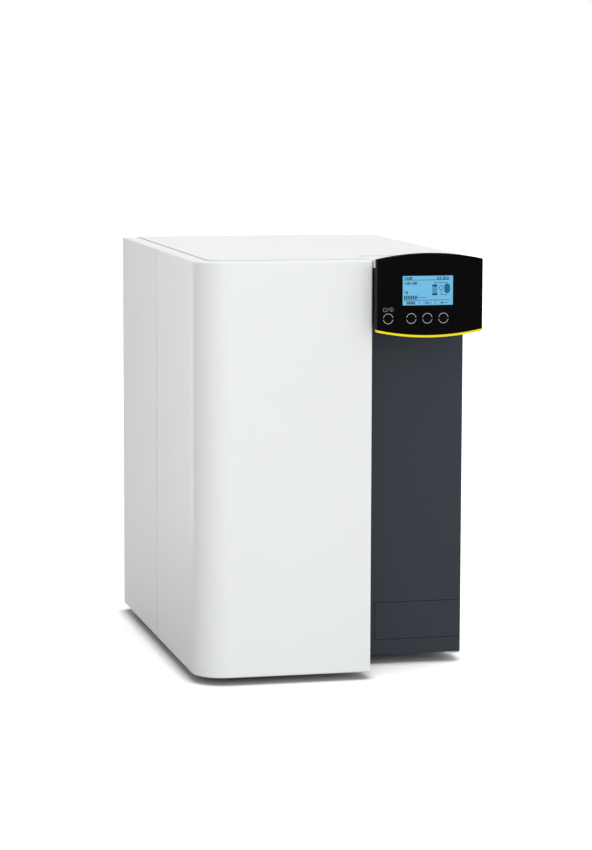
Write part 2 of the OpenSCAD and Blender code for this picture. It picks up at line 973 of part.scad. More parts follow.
module key(i) {
    x = key_centres[i];
    y_flange = y_back + key_rest;
    stem_end = y_key_board - dome_h - key_travel - key_rest;
    color("black")
        difference() {
            union() {
                rod_y(x, [y_face, y_flange + eps], z_keys, key_r);
                rod_y(x, [y_flange, y_flange + key_flange_t], z_keys, key_r + key_flange);
                rod_y(x, [y_flange, stem_end], z_keys, key_stem_r);
            }
            translate([x, y_face - dish_r + key_dish, z_keys])
                sphere(r = dish_r);
        }
}

module standby_key() {
    key(0);
}

module soft_key_left() {
    key(1);
}

module soft_key_middle() {
    key(2);
}

module soft_key_right() {
    key(3);
}

// Cartridge bay

module drip_tray() {
    inset = seam + sheet + fit_gap;
    color("gainsboro") {
        translate([0, 0, z_floor])
            linear_extrude(wall)
                intersection() {
                    plan(rim_side + inset, rim_front + inset, rim_r - sheet);
                    translate([x_l, y_f])
                        square([door_w - wall - fit_gap, y_bulk - fit_gap - y_f]);
                }
        translate([x_filter, y_filter, z_tray - eps])
            rotate_extrude()
                translate([filter_r + tray_ring_gap, 0])
                    square([tray_ring_t, tray_ring_h]);
    }
}

module leak_sensor() {
    x = x_lid + 34;
    y = y_lid + 26;
    color("black")
        span([x - 13, x + 13], [y - 8, y + 8], [z_tray, z_tray + 11]);
    color("silver")
        for (s = [-8, 8])
            rod_z(x + s, y, [z_tray + 11 - eps, z_tray + 15], 2);
}

module filter_cartridge() {
    foot = 7;
    waist = 3;
    top = z_filter_cap - z_tray;
    color("white")
        translate([x_filter, y_filter, z_tray])
            rotate_extrude()
                difference() {
                    union() {
                        translate([0, foot])
                            square([filter_r, top - foot]);
                        square([filter_r - foot, foot + 1]);
                        translate([filter_r - foot, foot])
                            circle(foot);
                    }
                    for (z = [40, top - 40])
                        translate([filter_r - waist / 2, z])
                            square([waist, waist]);
                }
}

module grip_cap(r, h) {
    count = 24;
    cylinder(r = r, h = h);
    for (i = [0 : count - 1])
        rotate([0, 0, i * 360 / count])
            translate([r, 0, 0])
                cylinder(r = 1.6, h = h - 4, $fn = 16);
}

module filter_cap() {
    color("royalblue")
        translate([x_filter, y_filter, z_filter_cap]) {
            grip_cap(filter_r - 2, filter_cap_h);
            for (s = [-1, 1])
                translate([s * filter_off, 0, filter_cap_h - eps])
                    cylinder(r = stub_r, h = stub_l + eps);
        }
}

module filter_clips() {
    color("gray")
        for (z = [z_tray + filter_clip_low, z_filter_cap - filter_clip_drop])
            clip(x_filter, y_filter, z, filter_r, filter_stand, 0);
}

module vessel_tubes() {
    color("whitesmoke")
        for (x = [x_vessel_1, x_vessel_2])
            difference() {
                rod_z(x, y_vessel, [vessel_z0, vessel_z1], vessel_r);
                rod_z(x, y_vessel, [vessel_z0 - 1, vessel_z1 + 1], vessel_r - vessel_wall);
            }
}

module vessel_cap(stubs) {
    difference() {
        grip_cap(vessel_r + cap_wall, cap_h);
        translate([0, 0, -1])
            cylinder(r = vessel_r + 0.1, h = cap_lap + 1);
    }
    for (x = stubs)
        translate([x, 0, cap_h - eps])
            cylinder(r = stub_r, h = stub_l + eps);
}

module vessel_caps() {
    color("steelblue")
        for (v = [[x_vessel_1, brine_off], [x_vessel_2, -brine_off]]) {
            translate([v[0], y_vessel, z_cap_high - cap_h])
                vessel_cap([0, v[1]]);
            translate([v[0], y_vessel, z_cap_low + cap_h])
                mirror([0, 0, 1])
                    vessel_cap([0]);
        }
}

module membranes() {
    slack = 0.4;
    core_r = 8;
    color("ivory")
        for (x = [x_vessel_1, x_vessel_2]) {
            rod_z(x, y_vessel, [vessel_z0 + 12, vessel_z1 - 12], vessel_r - vessel_wall - slack);
            rod_z(x, y_vessel, [vessel_z0, vessel_z1], core_r);
        }
}

module vessel_clips() {
    color("gray")
        for (x = [x_vessel_1, x_vessel_2], z = [vessel_z0 + vessel_clip_in, vessel_z1 - vessel_clip_in - clip_h])
            clip(x, y_vessel, z, vessel_r, vessel_stand, 90);
}

// Tubes and what they join

module bulkhead_unions() {
    nut = 4;
    color("white")
        for (u = union_places) {
            rod_y(u[0], union_ends, u[1], union_r);
            rod_y(u[0], [y_bulk - nut, y_bulk], u[1], union_hex, 6);
            rod_y(u[0], [y_bulk + sheet, y_bulk + sheet + nut], u[1], union_hex, 6);
        }
}

module permeate_tee() {
    color("white") {
        translate([x_vessel_2, y_vessel, z_link])
            sphere(r = tee_r);
        rod_z(x_vessel_2, y_vessel, [z_vessel_stub, z_link], tee_r - 1);
        rod_x([x_vessel_2 - 2 * tee_r, x_vessel_2], y_vessel, z_link, tee_r - 1);
        rod_y(x_vessel_2, [y_vessel, y_vessel + 2 * tee_r], z_link, tee_r - 1);
    }
}

module feed_tube() {
    x = x_filter + filter_off;
    x_up = port_x + feed_side;
    y_up = y_valve - feed_front;
    z = port_levels[1];
    color("azure") {
        tube([[x, y_filter, z_filter_stub], [x, y_filter, z_high], [x, union_ends[0], z_high]]);
        tube([
            [port_x, y_valve, z], [port_x, y_up, z], [x_up, y_up, z], [x_up, y_up, z_high],
            [x, y_up, z_high], [x, union_ends[1], z_high]
        ]);
    }
}

module suction_tube() {
    x = x_filter - filter_off;
    color("azure") {
        tube([[x, y_filter, z_filter_stub], [x, y_filter, z_high], [x, union_ends[0], z_high]]);
        tube([
            [x, union_ends[1], z_high], [x, pump_in[1], z_high], [pump_in[0], pump_in[1], z_high],
            [pump_in[0], pump_in[1], z_pump + pump_r + stub_l]
        ]);
    }
}

module pressure_tube() {
    x = x_vessel_1;
    color("azure") {
        tube([[x, y_vessel, z_vessel_foot], [x, y_vessel, z_low], [x, union_ends[0], z_low]]);
        tube([[x, union_ends[1], z_low], [x, y_pump - stub_l, z_low]]);
    }
}

module vessel_link_tube() {
    x0 = x_vessel_1 + brine_off;
    x1 = x_vessel_2 - brine_off;
    color("azure")
        tube([
            [x0, y_vessel, z_vessel_stub], [x0, y_vessel, z_brine],
            [x1, y_vessel, z_brine], [x1, y_vessel, z_vessel_stub]
        ]);
}

module permeate_tube() {
    x = x_vessel_2;
    y_down = y_tail - bend_r - 24;
    color("azure") {
        tube([
            [x_vessel_1, y_vessel, z_vessel_stub], [x_vessel_1, y_vessel, z_link],
            [x - 2 * tee_r, y_vessel, z_link]
        ]);
        tube([[x, y_vessel + 2 * tee_r, z_link], [x, union_ends[0], z_link]]);
        tube([[x, union_ends[1], z_link], [x, y_cell, z_link]]);
        tube([
            [x, y_cell + cell_l, z_link], [x, y_down, z_link],
            [x, y_down, port_levels[2]], [x, y_tail, port_levels[2]]
        ]);
    }
}

module concentrate_tube() {
    x = x_vessel_2;
    color("azure") {
        tube([[x, y_vessel, z_vessel_foot], [x, y_vessel, z_low], [x, union_ends[0], z_low]]);
        tube([[x, union_ends[1], z_low], [x, y_valve, z_low]]);
    }
}

// Pump, valves and sensors

module pump_head() {
    color("dimgray") {
        rod_y(pump_x, [y_pump, y_pump + pump_l], z_pump, pump_r);
        rod_z(pump_in[0], pump_in[1], [z_pump + pump_r - 6, z_pump + pump_r + stub_l], stub_r);
        rod_y(x_vessel_1, [y_pump - stub_l, y_pump + eps], z_low, stub_r);
        for (i = [0 : 5])
            translate([pump_x, y_pump + eps, z_pump])
                rotate([90, i * 60, 0])
                    translate([pump_r - 8, 0, 0])
                        cylinder(r = 3.5, h = 3);
    }
}

module pump_motor() {
    fin_d = 2;
    fins = floor((motor_l - fin_pitch) / fin_pitch) - 1;
    y_end = y_motor + motor_l;
    color("silver") {
        rod_y(pump_x, [y_motor, y_end], z_pump, motor_r - fin_d);
        for (i = [1 : fins])
            let (y = y_motor + i * fin_pitch)
                rod_y(pump_x, [y, y + fin_t], z_pump, motor_r);
        rod_y(pump_x, [y_end - eps, y_end + motor_cap], z_pump, motor_r * 0.6);
    }
}

module pump_base() {
    half = motor_r - 6;
    x = [pump_x - half, pump_x + half];
    front = y_motor + saddle_inset;
    back = y_motor + motor_l - saddle_inset - saddle_w;
    z = z_floor + mount_h;
    color("#333333")
        difference() {
            union() {
                for (y = [front, back]) {
                    span(x, [y, y + saddle_w], [z, z_pump - motor_r / 2]);
                    for (m = [x[0] + mount_r, x[1] - mount_r])
                        rod_z(m, y + saddle_w / 2, [z_floor, z + eps], mount_r);
                }
                span(x, [front, back + saddle_w], [z, z + wall]);
            }
            rod_y(pump_x, [y_motor, y_motor + motor_l], z_pump, motor_r + pin_clear);
        }
}

module pressure_switch() {
    x0 = pump_x + pump_r - 0.5;
    color("goldenrod")
        difference() {
            union() {
                rod_x([x0, x0 + 12], y_pump + pump_l / 2, z_pump, 6);
                rod_x([x0 + 11, x0 + 26], y_pump + pump_l / 2, z_pump, 11);
            }
            rod_y(pump_x, [y_pump, y_pump + pump_l], z_pump, pump_r);
        }
}

// A solenoid valve between a port's tail and a tube, with its coil to the right
module valve(z) {
    mid = y_valve + valve_d / 2;
    side = port_x + valve_half;
    rod_y(port_x, [y_valve, y_tail], z, stub_r);
    block(port_x, [mid - valve_half, mid + valve_half], z, [valve_half, valve_half]);
    rod_x([side - eps, side + coil_l], mid, z, coil_r);
    rod_x([side + coil_l - eps, side + coil_l + coil_nut], mid, z, coil_r / 2);
}

module inlet_valve() {
    color("peru")
        valve(port_levels[1]);
}

module flush_valve() {
    color("peru")
        valve(port_levels[0]);
}

module conductivity_cell() {
    y1 = y_cell + cell_l;
    color("gray") {
        rod_y(x_vessel_2, [y_cell, y1], z_link, stub_r);
        rod_y(x_vessel_2, [y_cell + cell_neck, y1 - cell_neck], z_link, cell_r);
        rod_z(x_vessel_2, (y_cell + y1) / 2, [z_link - cell_plug, z_link], cell_r / 2);
    }
}

// Rear connections

module water_port(z) {
    nut = union_r + 4;
    passage_r = 2.5;
    color("white")
        difference() {
            union() {
                rod_y(port_x, [y_rear, y_rear + 5], z, nut + 1, 6);
                rod_y(port_x, [y_rear, y_rear + port_l - 3], z, nut - 2);
                rod_y(port_x, [y_rear, y_rear + port_l], z, nut - 5);
                rod_y(port_x, [y_tail, y_rear + eps], z, union_r);
                rod_y(port_x, [y_rear - sheet - 6, y_rear - sheet], z, nut + 1, 6);
            }
            rod_y(port_x, [y_rear + port_l - socket_l, y_rear + port_l + 1], z, socket_r);
            rod_y(port_x, [y_tail - 1, y_rear + port_l - socket_l + eps], z, passage_r);
        }
}

module feed_port() {
    water_port(port_levels[1]);
}

module permeate_port() {
    water_port(port_levels[2]);
}

module drain_port() {
    water_port(port_levels[0]);
}

module mains_inlet() {
    blade = 10;
    depth = 18;
    back = 8;
    floor_y = y_rear + flange_t - depth;
    color("#1a1a1a")
        difference() {
            union() {
                block(inlet_x, [y_rear, y_rear + flange_t], inlet_z, inlet_flange);
                block(inlet_x, [floor_y - back, y_rear + eps], inlet_z, inlet_half);
            }
            block(inlet_x, [floor_y, y_rear + flange_t + 1], inlet_z, inlet_cavity);
            for (s = [-20, 20])
                rod_y(inlet_x + s, [y_rear - 1, y_rear + flange_t + 1], inlet_z, 1.8);
        }
    color("silver")
        for (b = [[-7, -2], [0, 2], [7, -2]])
            block(inlet_x + b[0], [floor_y - eps, floor_y + blade], inlet_z + b[1], [1, 2]);
}

module mains_switch() {
    depth = 18;
    room = 0.3;
    arm = 2;
    color("#1a1a1a")
        difference() {
            union() {
                block(inlet_x, [y_rear, y_rear + flange_t], switch_z, switch_flange);
                block(inlet_x, [y_rear - depth, y_rear + eps], switch_z, switch_half);
            }
            rod_x([inlet_x - rocker_w / 2 - room, inlet_x + rocker_w / 2 + room], y_rocker, switch_z,
                rocker_r + room);
            rod_x([inlet_x - rocker_w / 2 - arm, inlet_x + rocker_w / 2 + arm], y_rocker, switch_z,
                trunnion_r + pin_clear);
        }
}

module rocker_cut(slope) {
    translate([0, rocker_face, -1])
        rotate([0, 0, slope])
            translate([-2 * rocker_r, 0, 0])
                cube([4 * rocker_r, 2 * rocker_r, rocker_w + 2]);
}

// The rocker: a drum on trunnions whose outer side is cut to two faces that meet in a valley
module mains_rocker() {
    arm = 1.6;
    color("#303030") {
        translate([inlet_x - rocker_w / 2, y_rocker, switch_z])
            rotate([-rocker_tilt, 0, 0])
                rotate([0, 90, 0])
                    difference() {
                        cylinder(r = rocker_r, h = rocker_w);
                        intersection() {
                            rocker_cut(rocker_tilt);
                            rocker_cut(-rocker_tilt);
                        }
                    }
        rod_x([inlet_x - rocker_w / 2 - arm, inlet_x + rocker_w / 2 + arm], y_rocker, switch_z,
            trunnion_r);
    }
}

module data_socket() {
    plate = 1;
    sunk = 10;
    proud = 6.5;
    post_x = 12.5;
    color("silver")
        block(inlet_x, [y_rear, y_rear + plate], data_z, [post_x + 3, data_half[1] + 2.1]);
    color("silver")
        translate([inlet_x, y_rear - sunk, data_z])
            rotate([-90, 0, 0])
                linear_extrude(sunk + proud)
                    polygon([
                        [-data_half[0], -data_half[1]], [data_half[0], -data_half[1]],
                        [data_half[0] - 1.5, data_half[1]], [1.5 - data_half[0], data_half[1]]
                    ]);
    color("dimgray")
        for (s = [-post_x, post_x])
            rod_y(inlet_x + s, [y_rear, y_rear + proud], data_z, 2.8, 6);
}

// Electrics

module power_supply() {
    x = [x_door + supply_edge, x_r - wall - supply_edge];
    y1 = y_rear - sheet - supply_gap;
    y0 = y1 - supply_l;
    top = z_floor + supply_h;
    slots = 9;
    pitch = supply_l / (slots + 1);
    color("silver")
        difference() {
            union() {
                span(x, [y0, y1], [z_floor, top]);
                span(x, [y0 - supply_lug, y1 + supply_lug], [z_floor, z_floor + sheet]);
            }
            for (i = [1 : slots])
                let (y = y0 + i * pitch)
                    span([x[0] + supply_edge, x[1] - supply_edge], [y - sheet, y + sheet],
                        [top - sheet, top + 1]);
        }
}

module control_board() {
    x0 = x_door + board_edge;
    x1 = x_r - board_edge - wall;
    z0 = z_b + plate_z + plate_h + board_lift;
    z1 = z0 + board_h;
    y0 = y_column + board_stand;
    y1 = y0 + board_t;
    chips = 4;
    color("darkgreen") {
        span([x0, x1], [y0, y1], [z0, z1]);
        for (i = [0 : chips - 1])
            let (z = z0 + (i + 0.5) * board_h / chips) {
                block(x0 + chip_half + board_post, [y1 - eps, y1 + chip_t], z, [chip_half, chip_half]);
                rod_y(x1 - chip_half - board_post, [y1 - eps, y1 + capacitor_h], z, capacitor_r);
            }
        for (x = [x0 + board_post, x1 - board_post], z = [z0 + board_post, z1 - board_post])
            rod_y(x, [y_column, y0 + eps], z, board_post * 0.7);
    }
}

base_pan();
rubber_feet();
rear_panel();
left_rear_panel();
right_panel();
top_lid();
bulkhead();
partition();
column_panel();
blanking_plate();
front_door();
hinge_brackets();
hinge_pins();
catch_magnets();
strike_plates();
head_housing();
head_cover();
head_face();
accent_strip();
screen();
screen_board();
key_board();
key_domes();
standby_key();
soft_key_left();
soft_key_middle();
soft_key_right();
drip_tray();
leak_sensor();
filter_cartridge();
filter_cap();
filter_clips();
vessel_tubes();
vessel_caps();
membranes();
vessel_clips();
bulkhead_unions();
permeate_tee();
feed_tube();
suction_tube();
pressure_tube();
vessel_link_tube();
permeate_tube();
concentrate_tube();
pump_head();
pump_motor();
pump_base();
pressure_switch();
inlet_valve();
flush_valve();
conductivity_cell();
feed_port();
permeate_port();
drain_port();
mains_inlet();
mains_switch();
mains_rocker();
data_socket();
power_supply();
control_board();
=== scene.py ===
# %% [markdown]
# # A benchtop reverse osmosis system
# The cabinet comes from the CAD model as a fixed frame: a white wrap-around door, a dark
# recessed column and a control head that overhangs it. This lesson gives each part its finish,
# adds the small pieces that only Blender makes, and sets up the camera and the studio light.

import json
import math

import bmesh
import bpy
from mathutils import Matrix, Vector


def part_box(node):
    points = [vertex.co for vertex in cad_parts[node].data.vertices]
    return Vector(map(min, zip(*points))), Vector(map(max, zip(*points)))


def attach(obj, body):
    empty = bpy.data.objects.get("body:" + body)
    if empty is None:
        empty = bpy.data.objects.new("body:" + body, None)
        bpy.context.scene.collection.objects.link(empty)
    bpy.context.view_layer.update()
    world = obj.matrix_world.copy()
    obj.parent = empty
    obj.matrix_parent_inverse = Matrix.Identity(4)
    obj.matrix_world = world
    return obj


MM = 0.001

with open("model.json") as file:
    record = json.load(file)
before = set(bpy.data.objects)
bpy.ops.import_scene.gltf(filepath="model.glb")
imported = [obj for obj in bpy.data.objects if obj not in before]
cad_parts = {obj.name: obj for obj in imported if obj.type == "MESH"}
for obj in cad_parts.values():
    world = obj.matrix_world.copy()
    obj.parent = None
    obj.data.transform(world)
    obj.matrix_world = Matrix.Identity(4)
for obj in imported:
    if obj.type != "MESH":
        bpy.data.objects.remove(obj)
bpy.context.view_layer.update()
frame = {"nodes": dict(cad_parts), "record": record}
bpy.ops.object.select_all(action="DESELECT")
scene = bpy.context.scene
scene.view_settings.view_transform = "Standard"

# %% [markdown]
# ## Camera
# The photograph was taken from the front left, a little above the lid, with a long lens from a
# few metres away. The lens follows from the photograph's own perspective: the image is 850
# pixels high, and the focal length was found as a number of pixels, so it becomes millimetres
# on a 36 mm sensor. The view direction is given by three angles, as a photographer would set
# a tripod head.

# %% Camera
IMAGE_HEIGHT_PX = 850
FOCAL_PX = 2924.73
SENSOR_MM = 36
CAMERA_PLACE = Vector((-0.83647, -3.58103, 0.73921))
YAW = math.radians(13.1836)
PITCH = math.radians(7.1375)
ROLL = math.radians(-0.1566)

forward = Vector((
    math.sin(YAW) * math.cos(PITCH),
    math.cos(YAW) * math.cos(PITCH),
    -math.sin(PITCH),
))
level_right = Vector((math.cos(YAW), -math.sin(YAW), 0))
level_down = forward.cross(level_right)
right = math.cos(ROLL) * level_right + math.sin(ROLL) * level_down
up = -forward.cross(right)

bpy.ops.object.camera_add()
camera = bpy.context.object
camera.name = "photo_camera"
camera.data.sensor_width = SENSOR_MM
camera.data.lens = FOCAL_PX * SENSOR_MM / IMAGE_HEIGHT_PX
turn = Matrix((right, up, -forward)).transposed()
camera.matrix_world = Matrix.Translation(CAMERA_PLACE) @ turn.to_4x4()
scene.camera = camera
print("lens in mm:", round(camera.data.lens, 2))

# %% [markdown]
# ## Helpers for materials
# Colours are written as the sRGB hex values that a colour picker shows. Blender's shaders work
# with linear light, so one function turns them over. A second function adds a node, sets its
# values and links its inputs, which keeps every material a short list of nodes. A Mix node
# lists the sockets of all its data types, and the two inputs of a Math node share one name, so
# these sockets are picked by number.

# %% Colour and node helpers
FIRST = 0
SECOND = 1
FACTOR = 0
NUMBER_A = 2
NUMBER_B = 3
NUMBER_OUT = 0
COLOUR_A = 6
COLOUR_B = 7
COLOUR_OUT = 2


# The sRGB curve starts as a short straight line and goes on as a power
def hex_rgba(text):
    parts = [int(text[i:i + 2], 16) / 255 for i in (1, 3, 5)]
    linear = [c / 12.92 if c <= 0.04045 else ((c + 0.055) / 1.055) ** 2.4 for c in parts]
    return (*linear, 1.0)


def add_node(tree, kind, settings=None, links=None):
    node = tree.nodes.new(kind)
    for name, value in (settings or {}).items():
        if isinstance(name, int) or name in node.inputs:
            node.inputs[name].default_value = value
        else:
            setattr(node, name, value)
    for name, socket in (links or {}).items():
        tree.links.new(socket, node.inputs[name])
    return node


def new_material(name):
    material = bpy.data.materials.new(name)
    material.use_nodes = True
    tree = material.node_tree
    where = add_node(tree, "ShaderNodeTexCoord")
    return material, tree, tree.nodes["Principled BSDF"], where.outputs["Object"]


WHITE = hex_rgba("#FFFFFF")
print("middle grey in linear light:", round(hex_rgba("#808080")[0], 3))

# %% [markdown]
# ## Studio sky
# The photograph has a pure white background and very soft light: the lid is brightest, the
# front a little less, and the left side is clearly greyer. A sky gives soft light from all
# round. It is brightest above and to the right, and fades to almost nothing at the lower left.
# Rays from the camera, and rays that glossy surfaces mirror or clear ones let through, see
# plain white instead.

# %% Studio sky
SKY_LEVEL = 0.54
SKY_LEAN = (0.47, -0.06, 0.66)
SKY_LEAST = 0.05


# Two signals that are 1 for a ray from the camera, and for one that was mirrored or let through
def ray_signals(tree):
    ray = add_node(tree, "ShaderNodeLightPath")
    sent_on = add_node(
        tree, "ShaderNodeMath", {"operation": "MAXIMUM"},
        {FIRST: ray.outputs["Is Glossy Ray"], SECOND: ray.outputs["Is Transmission Ray"]},
    )
    return ray.outputs["Is Camera Ray"], sent_on.outputs["Value"]


world = bpy.data.worlds.new("soft_white_studio")
scene.world = world
world.use_nodes = True
sky = world.node_tree
toward = add_node(sky, "ShaderNodeTexCoord")
lean = add_node(
    sky, "ShaderNodeVectorMath", {"operation": "DOT_PRODUCT", SECOND: SKY_LEAN},
    {FIRST: toward.outputs["Generated"]},
)
level = add_node(
    sky, "ShaderNodeMath", {"operation": "ADD", SECOND: SKY_LEVEL}, {FIRST: lean.outputs["Value"]}
)
soft = add_node(
    sky, "ShaderNodeMath", {"operation": "MAXIMUM", SECOND: SKY_LEAST},
    {FIRST: level.outputs["Value"]},
)
seen, sent_on = ray_signals(sky)
plain = add_node(
    sky, "ShaderNodeMath", {"operation": "MAXIMUM"}, {FIRST: seen, SECOND: sent_on}
)
strength = add_node(
    sky, "ShaderNodeMix", {"data_type": "FLOAT", NUMBER_B: 1.0},
    {FACTOR: plain.outputs["Value"], NUMBER_A: soft.outputs["Value"]},
)
sky.links.new(strength.outputs[NUMBER_OUT], sky.nodes["Background"].inputs["Strength"])
sky.nodes["Background"].inputs["Color"].default_value = WHITE
print("brightest sky:", round(SKY_LEVEL + Vector(SKY_LEAN).length, 2))

# %% [markdown]
# ## Paper floor
# The cabinet stands on white paper. Lit paper comes out greyer than a pure white background, so
# its tone depends on the ray that meets it. The camera sees it brighter than white, which leaves
# grey only where the cabinet shades it. In the photograph that shadow is narrow and dark, so a
# painted shadow darkens the paper's colour for the camera where the cabinet is near: an ambient
# occlusion node measures how much of the space above a point is open. Mirrored rays see plain
# white, and the light that bounces up from the floor is that of pale grey paper.

# %% Paper floor
FLOOR_SIZE = 24
FLOOR_SEEN = (1.5, 1.5, 1.5, 1.0)
# Painted shadow: the darker paper colour right beside the cabinet
FLOOR_PAINTED_SHADOW = (0.52, 0.52, 0.52, 1.0)
FLOOR_BOUNCE = hex_rgba("#CFCFCF")
# How far the painted shadow reaches round the cabinet
PAINTED_SHADOW_MM = 18
# Right beside a wall, half of the space above is open
HALF_OPEN = 0.5

bpy.ops.mesh.primitive_plane_add(size=FLOOR_SIZE)
floor = bpy.context.object
floor.name = "studio_floor"
paper, tree, skin, _ = new_material("white_paper_sweep")
seen, sent_on = ray_signals(tree)
bounce = add_node(
    tree, "ShaderNodeMix", {"data_type": "RGBA", COLOUR_A: FLOOR_BOUNCE, COLOUR_B: WHITE},
    {FACTOR: sent_on},
)
# Painted shadow: the camera's paper colour darkens where less of the space above is open
near = add_node(tree, "ShaderNodeAmbientOcclusion", {"Distance": PAINTED_SHADOW_MM * MM})
open_share = add_node(
    tree, "ShaderNodeMapRange", {"From Min": HALF_OPEN}, {"Value": near.outputs["AO"]}
)
seen_with_painted_shadow = add_node(
    tree, "ShaderNodeMix", {"data_type": "RGBA", COLOUR_A: FLOOR_PAINTED_SHADOW, COLOUR_B: FLOOR_SEEN},
    {FACTOR: open_share.outputs["Result"]},
)
tone = add_node(
    tree, "ShaderNodeMix", {"data_type": "RGBA"},
    {FACTOR: seen, COLOUR_A: bounce.outputs[COLOUR_OUT], COLOUR_B: seen_with_painted_shadow.outputs[COLOUR_OUT]},
)
tree.links.new(tone.outputs[COLOUR_OUT], skin.inputs["Base Color"])
skin.inputs["Roughness"].default_value = 1.0
skin.inputs["Specular IOR Level"].default_value = 0.0
floor.data.materials.append(paper)
print("floor side in metres:", FLOOR_SIZE)

# %% [markdown]
# ## Two lamps
# A large round softbox in front lights the door and the head evenly. It can hang between camera
# and cabinet, because the back of a lamp doesn't show in a render. A tall strip light behind
# the left side shows only in reflections: it draws the pale band along the rounded corner.

# %% Lamps
LAMP_AIM = Vector((-0.05, -0.05, 0.25))
KEY_PLACE = (-0.25, -2.9, 0.9)
KEY_WIDTH = 2.2
KEY_POWER = 20.5
STRIP_PLACE = (-0.58, 0.57, 0.45)
STRIP_WIDTH = 0.38
STRIP_HEIGHT = 1.2
STRIP_POWER = 3.0


def add_lamp(name, place, shape, width, power):
    bpy.ops.object.light_add(type="AREA", location=place)
    lamp = bpy.context.object
    lamp.name = name
    lamp.data.shape = shape
    lamp.data.size = width
    lamp.data.energy = power
    lamp.rotation_euler = (LAMP_AIM - lamp.location).to_track_quat("-Z", "Y").to_euler()
    print(name, "with", power, "watts")
    return lamp


add_lamp("large_softbox", KEY_PLACE, "DISK", KEY_WIDTH, KEY_POWER)
strip_lamp = add_lamp("tall_strip_light", STRIP_PLACE, "RECTANGLE", STRIP_WIDTH, STRIP_POWER)
strip_lamp.data.size_y = STRIP_HEIGHT
strip_lamp.visible_diffuse = False
strip_lamp.visible_camera = False

# %% [markdown]
# ## Moulded plastics
# Most of the cabinet is injection-moulded plastic. The mould's surface is spark eroded, which
# leaves a fine even grain: it breaks up the reflection and makes the panel satin. A real grain
# is about a tenth of a millimetre and would vanish in the render, so it is drawn coarser, at the
# size that each material states. A very wide, very faint cloud in the colour stands for the
# way that large mouldings are never quite even. One recipe serves all of these, and each
# finish states its own colours, gloss and grain.

# %% Recipe for moulded plastic
CLOUD_MM = 180
GLOSS_SPREAD = 0.05
PLASTIC_IOR = 1.5


def moulded_plastic(name, main, shade, roughness, grain_mm, relief_mm, specular=0.5):
    material, tree, skin, place = new_material(name)
    cloud = add_node(
        tree, "ShaderNodeTexNoise", {"Scale": 1 / (CLOUD_MM * MM), "Detail": 2.0},
        {"Vector": place},
    )
    colour = add_node(
        tree, "ShaderNodeMix",
        {"data_type": "RGBA", COLOUR_A: hex_rgba(main), COLOUR_B: hex_rgba(shade)},
        {FACTOR: cloud.outputs["Fac"]},
    )
    grain = add_node(
        tree, "ShaderNodeTexNoise",
        {"Scale": 1 / (grain_mm * MM), "Detail": 3.0, "Roughness": 0.6}, {"Vector": place},
    )
    gloss = add_node(
        tree, "ShaderNodeMapRange",
        {"To Min": roughness - GLOSS_SPREAD, "To Max": roughness + GLOSS_SPREAD},
        {"Value": grain.outputs["Fac"]},
    )
    relief = add_node(
        tree, "ShaderNodeBump", {"Strength": 0.5, "Distance": relief_mm * MM},
        {"Height": grain.outputs["Fac"]},
    )
    tree.links.new(colour.outputs[COLOUR_OUT], skin.inputs["Base Color"])
    tree.links.new(gloss.outputs["Result"], skin.inputs["Roughness"])
    tree.links.new(relief.outputs["Normal"], skin.inputs["Normal"])
    skin.inputs["IOR"].default_value = PLASTIC_IOR
    skin.inputs["Specular IOR Level"].default_value = specular
    print("plastic:", name)
    return material


print("plastic recipe ready, with a cloud of", CLOUD_MM, "mm")

# %% [markdown]
# ## Panels, trim, keys and feet
# The shell is ABS, the usual plastic of instrument housings. It takes colour and a fine grain
# well, so the same plastic makes the white panels, the dark column and, from a polished mould,
# the bright trim. The keys are coated, and the feet are rubber that holds a little dust.

# %% Outer plastics
# White ABS panels: a cool white with a satin grain, no visible flow lines
white_abs = moulded_plastic(
    "white_abs_panel", "#EEF0F0", "#EAECED",
    roughness=0.36, grain_mm=1.6, relief_mm=0.03, specular=0.2,
)
# Anthracite ABS: blue-grey, the same grain, which shows more on a dark colour
anthracite_abs = moulded_plastic(
    "anthracite_abs_panel", "#2E343D", "#292E37",
    roughness=0.46, grain_mm=1.6, relief_mm=0.04, specular=0.25,
)
# Yellow trim: ABS from a polished mould, bright and smooth
yellow_abs = moulded_plastic(
    "yellow_gloss_abs", "#F6E21A", "#F2DA14",
    roughness=0.3, grain_mm=3.0, relief_mm=0.01, specular=0.2,
)
# Key caps: black with a silky touch coat
key_abs = moulded_plastic(
    "black_key_cap", "#040404", "#060606",
    roughness=0.34, grain_mm=1.0, relief_mm=0.02, specular=0.03,
)
# Moulded rubber feet: black, dull and slightly dusty
foot_rubber = moulded_plastic(
    "black_moulded_rubber", "#1D1D1D", "#292929", roughness=0.75, grain_mm=1.5, relief_mm=0.12
)

# %% [markdown]
# ## Plastics of the water path and the sockets
# Behind the door each plastic is chosen for its work. Polypropylene stands up to water and looks
# waxy, acetal is hard and slippery, and nylon with short glass fibres is stiff enough for a
# pump. Sockets and switch are PBT, which stays stable near mains voltage.

# %% Inner plastics
# Polypropylene tray: light grey and waxy
grey_polypropylene = moulded_plastic(
    "grey_polypropylene", "#C6CACD", "#BFC3C6", roughness=0.38, grain_mm=2.4, relief_mm=0.03
)
# Polypropylene vessels: milky white and smooth
white_polypropylene = moulded_plastic(
    "white_polypropylene", "#EDEFEF", "#E4E8EA", roughness=0.3, grain_mm=3.0, relief_mm=0.02
)
# Polypropylene caps: a clear mid blue, satin
blue_polypropylene = moulded_plastic(
    "blue_polypropylene", "#2B5C9E", "#264F8B", roughness=0.36, grain_mm=2.0, relief_mm=0.04
)
# Acetal spring clips: dark grey, slippery
grey_acetal = moulded_plastic(
    "grey_acetal_clip", "#5E6367", "#54595D", roughness=0.34, grain_mm=2.0, relief_mm=0.03
)
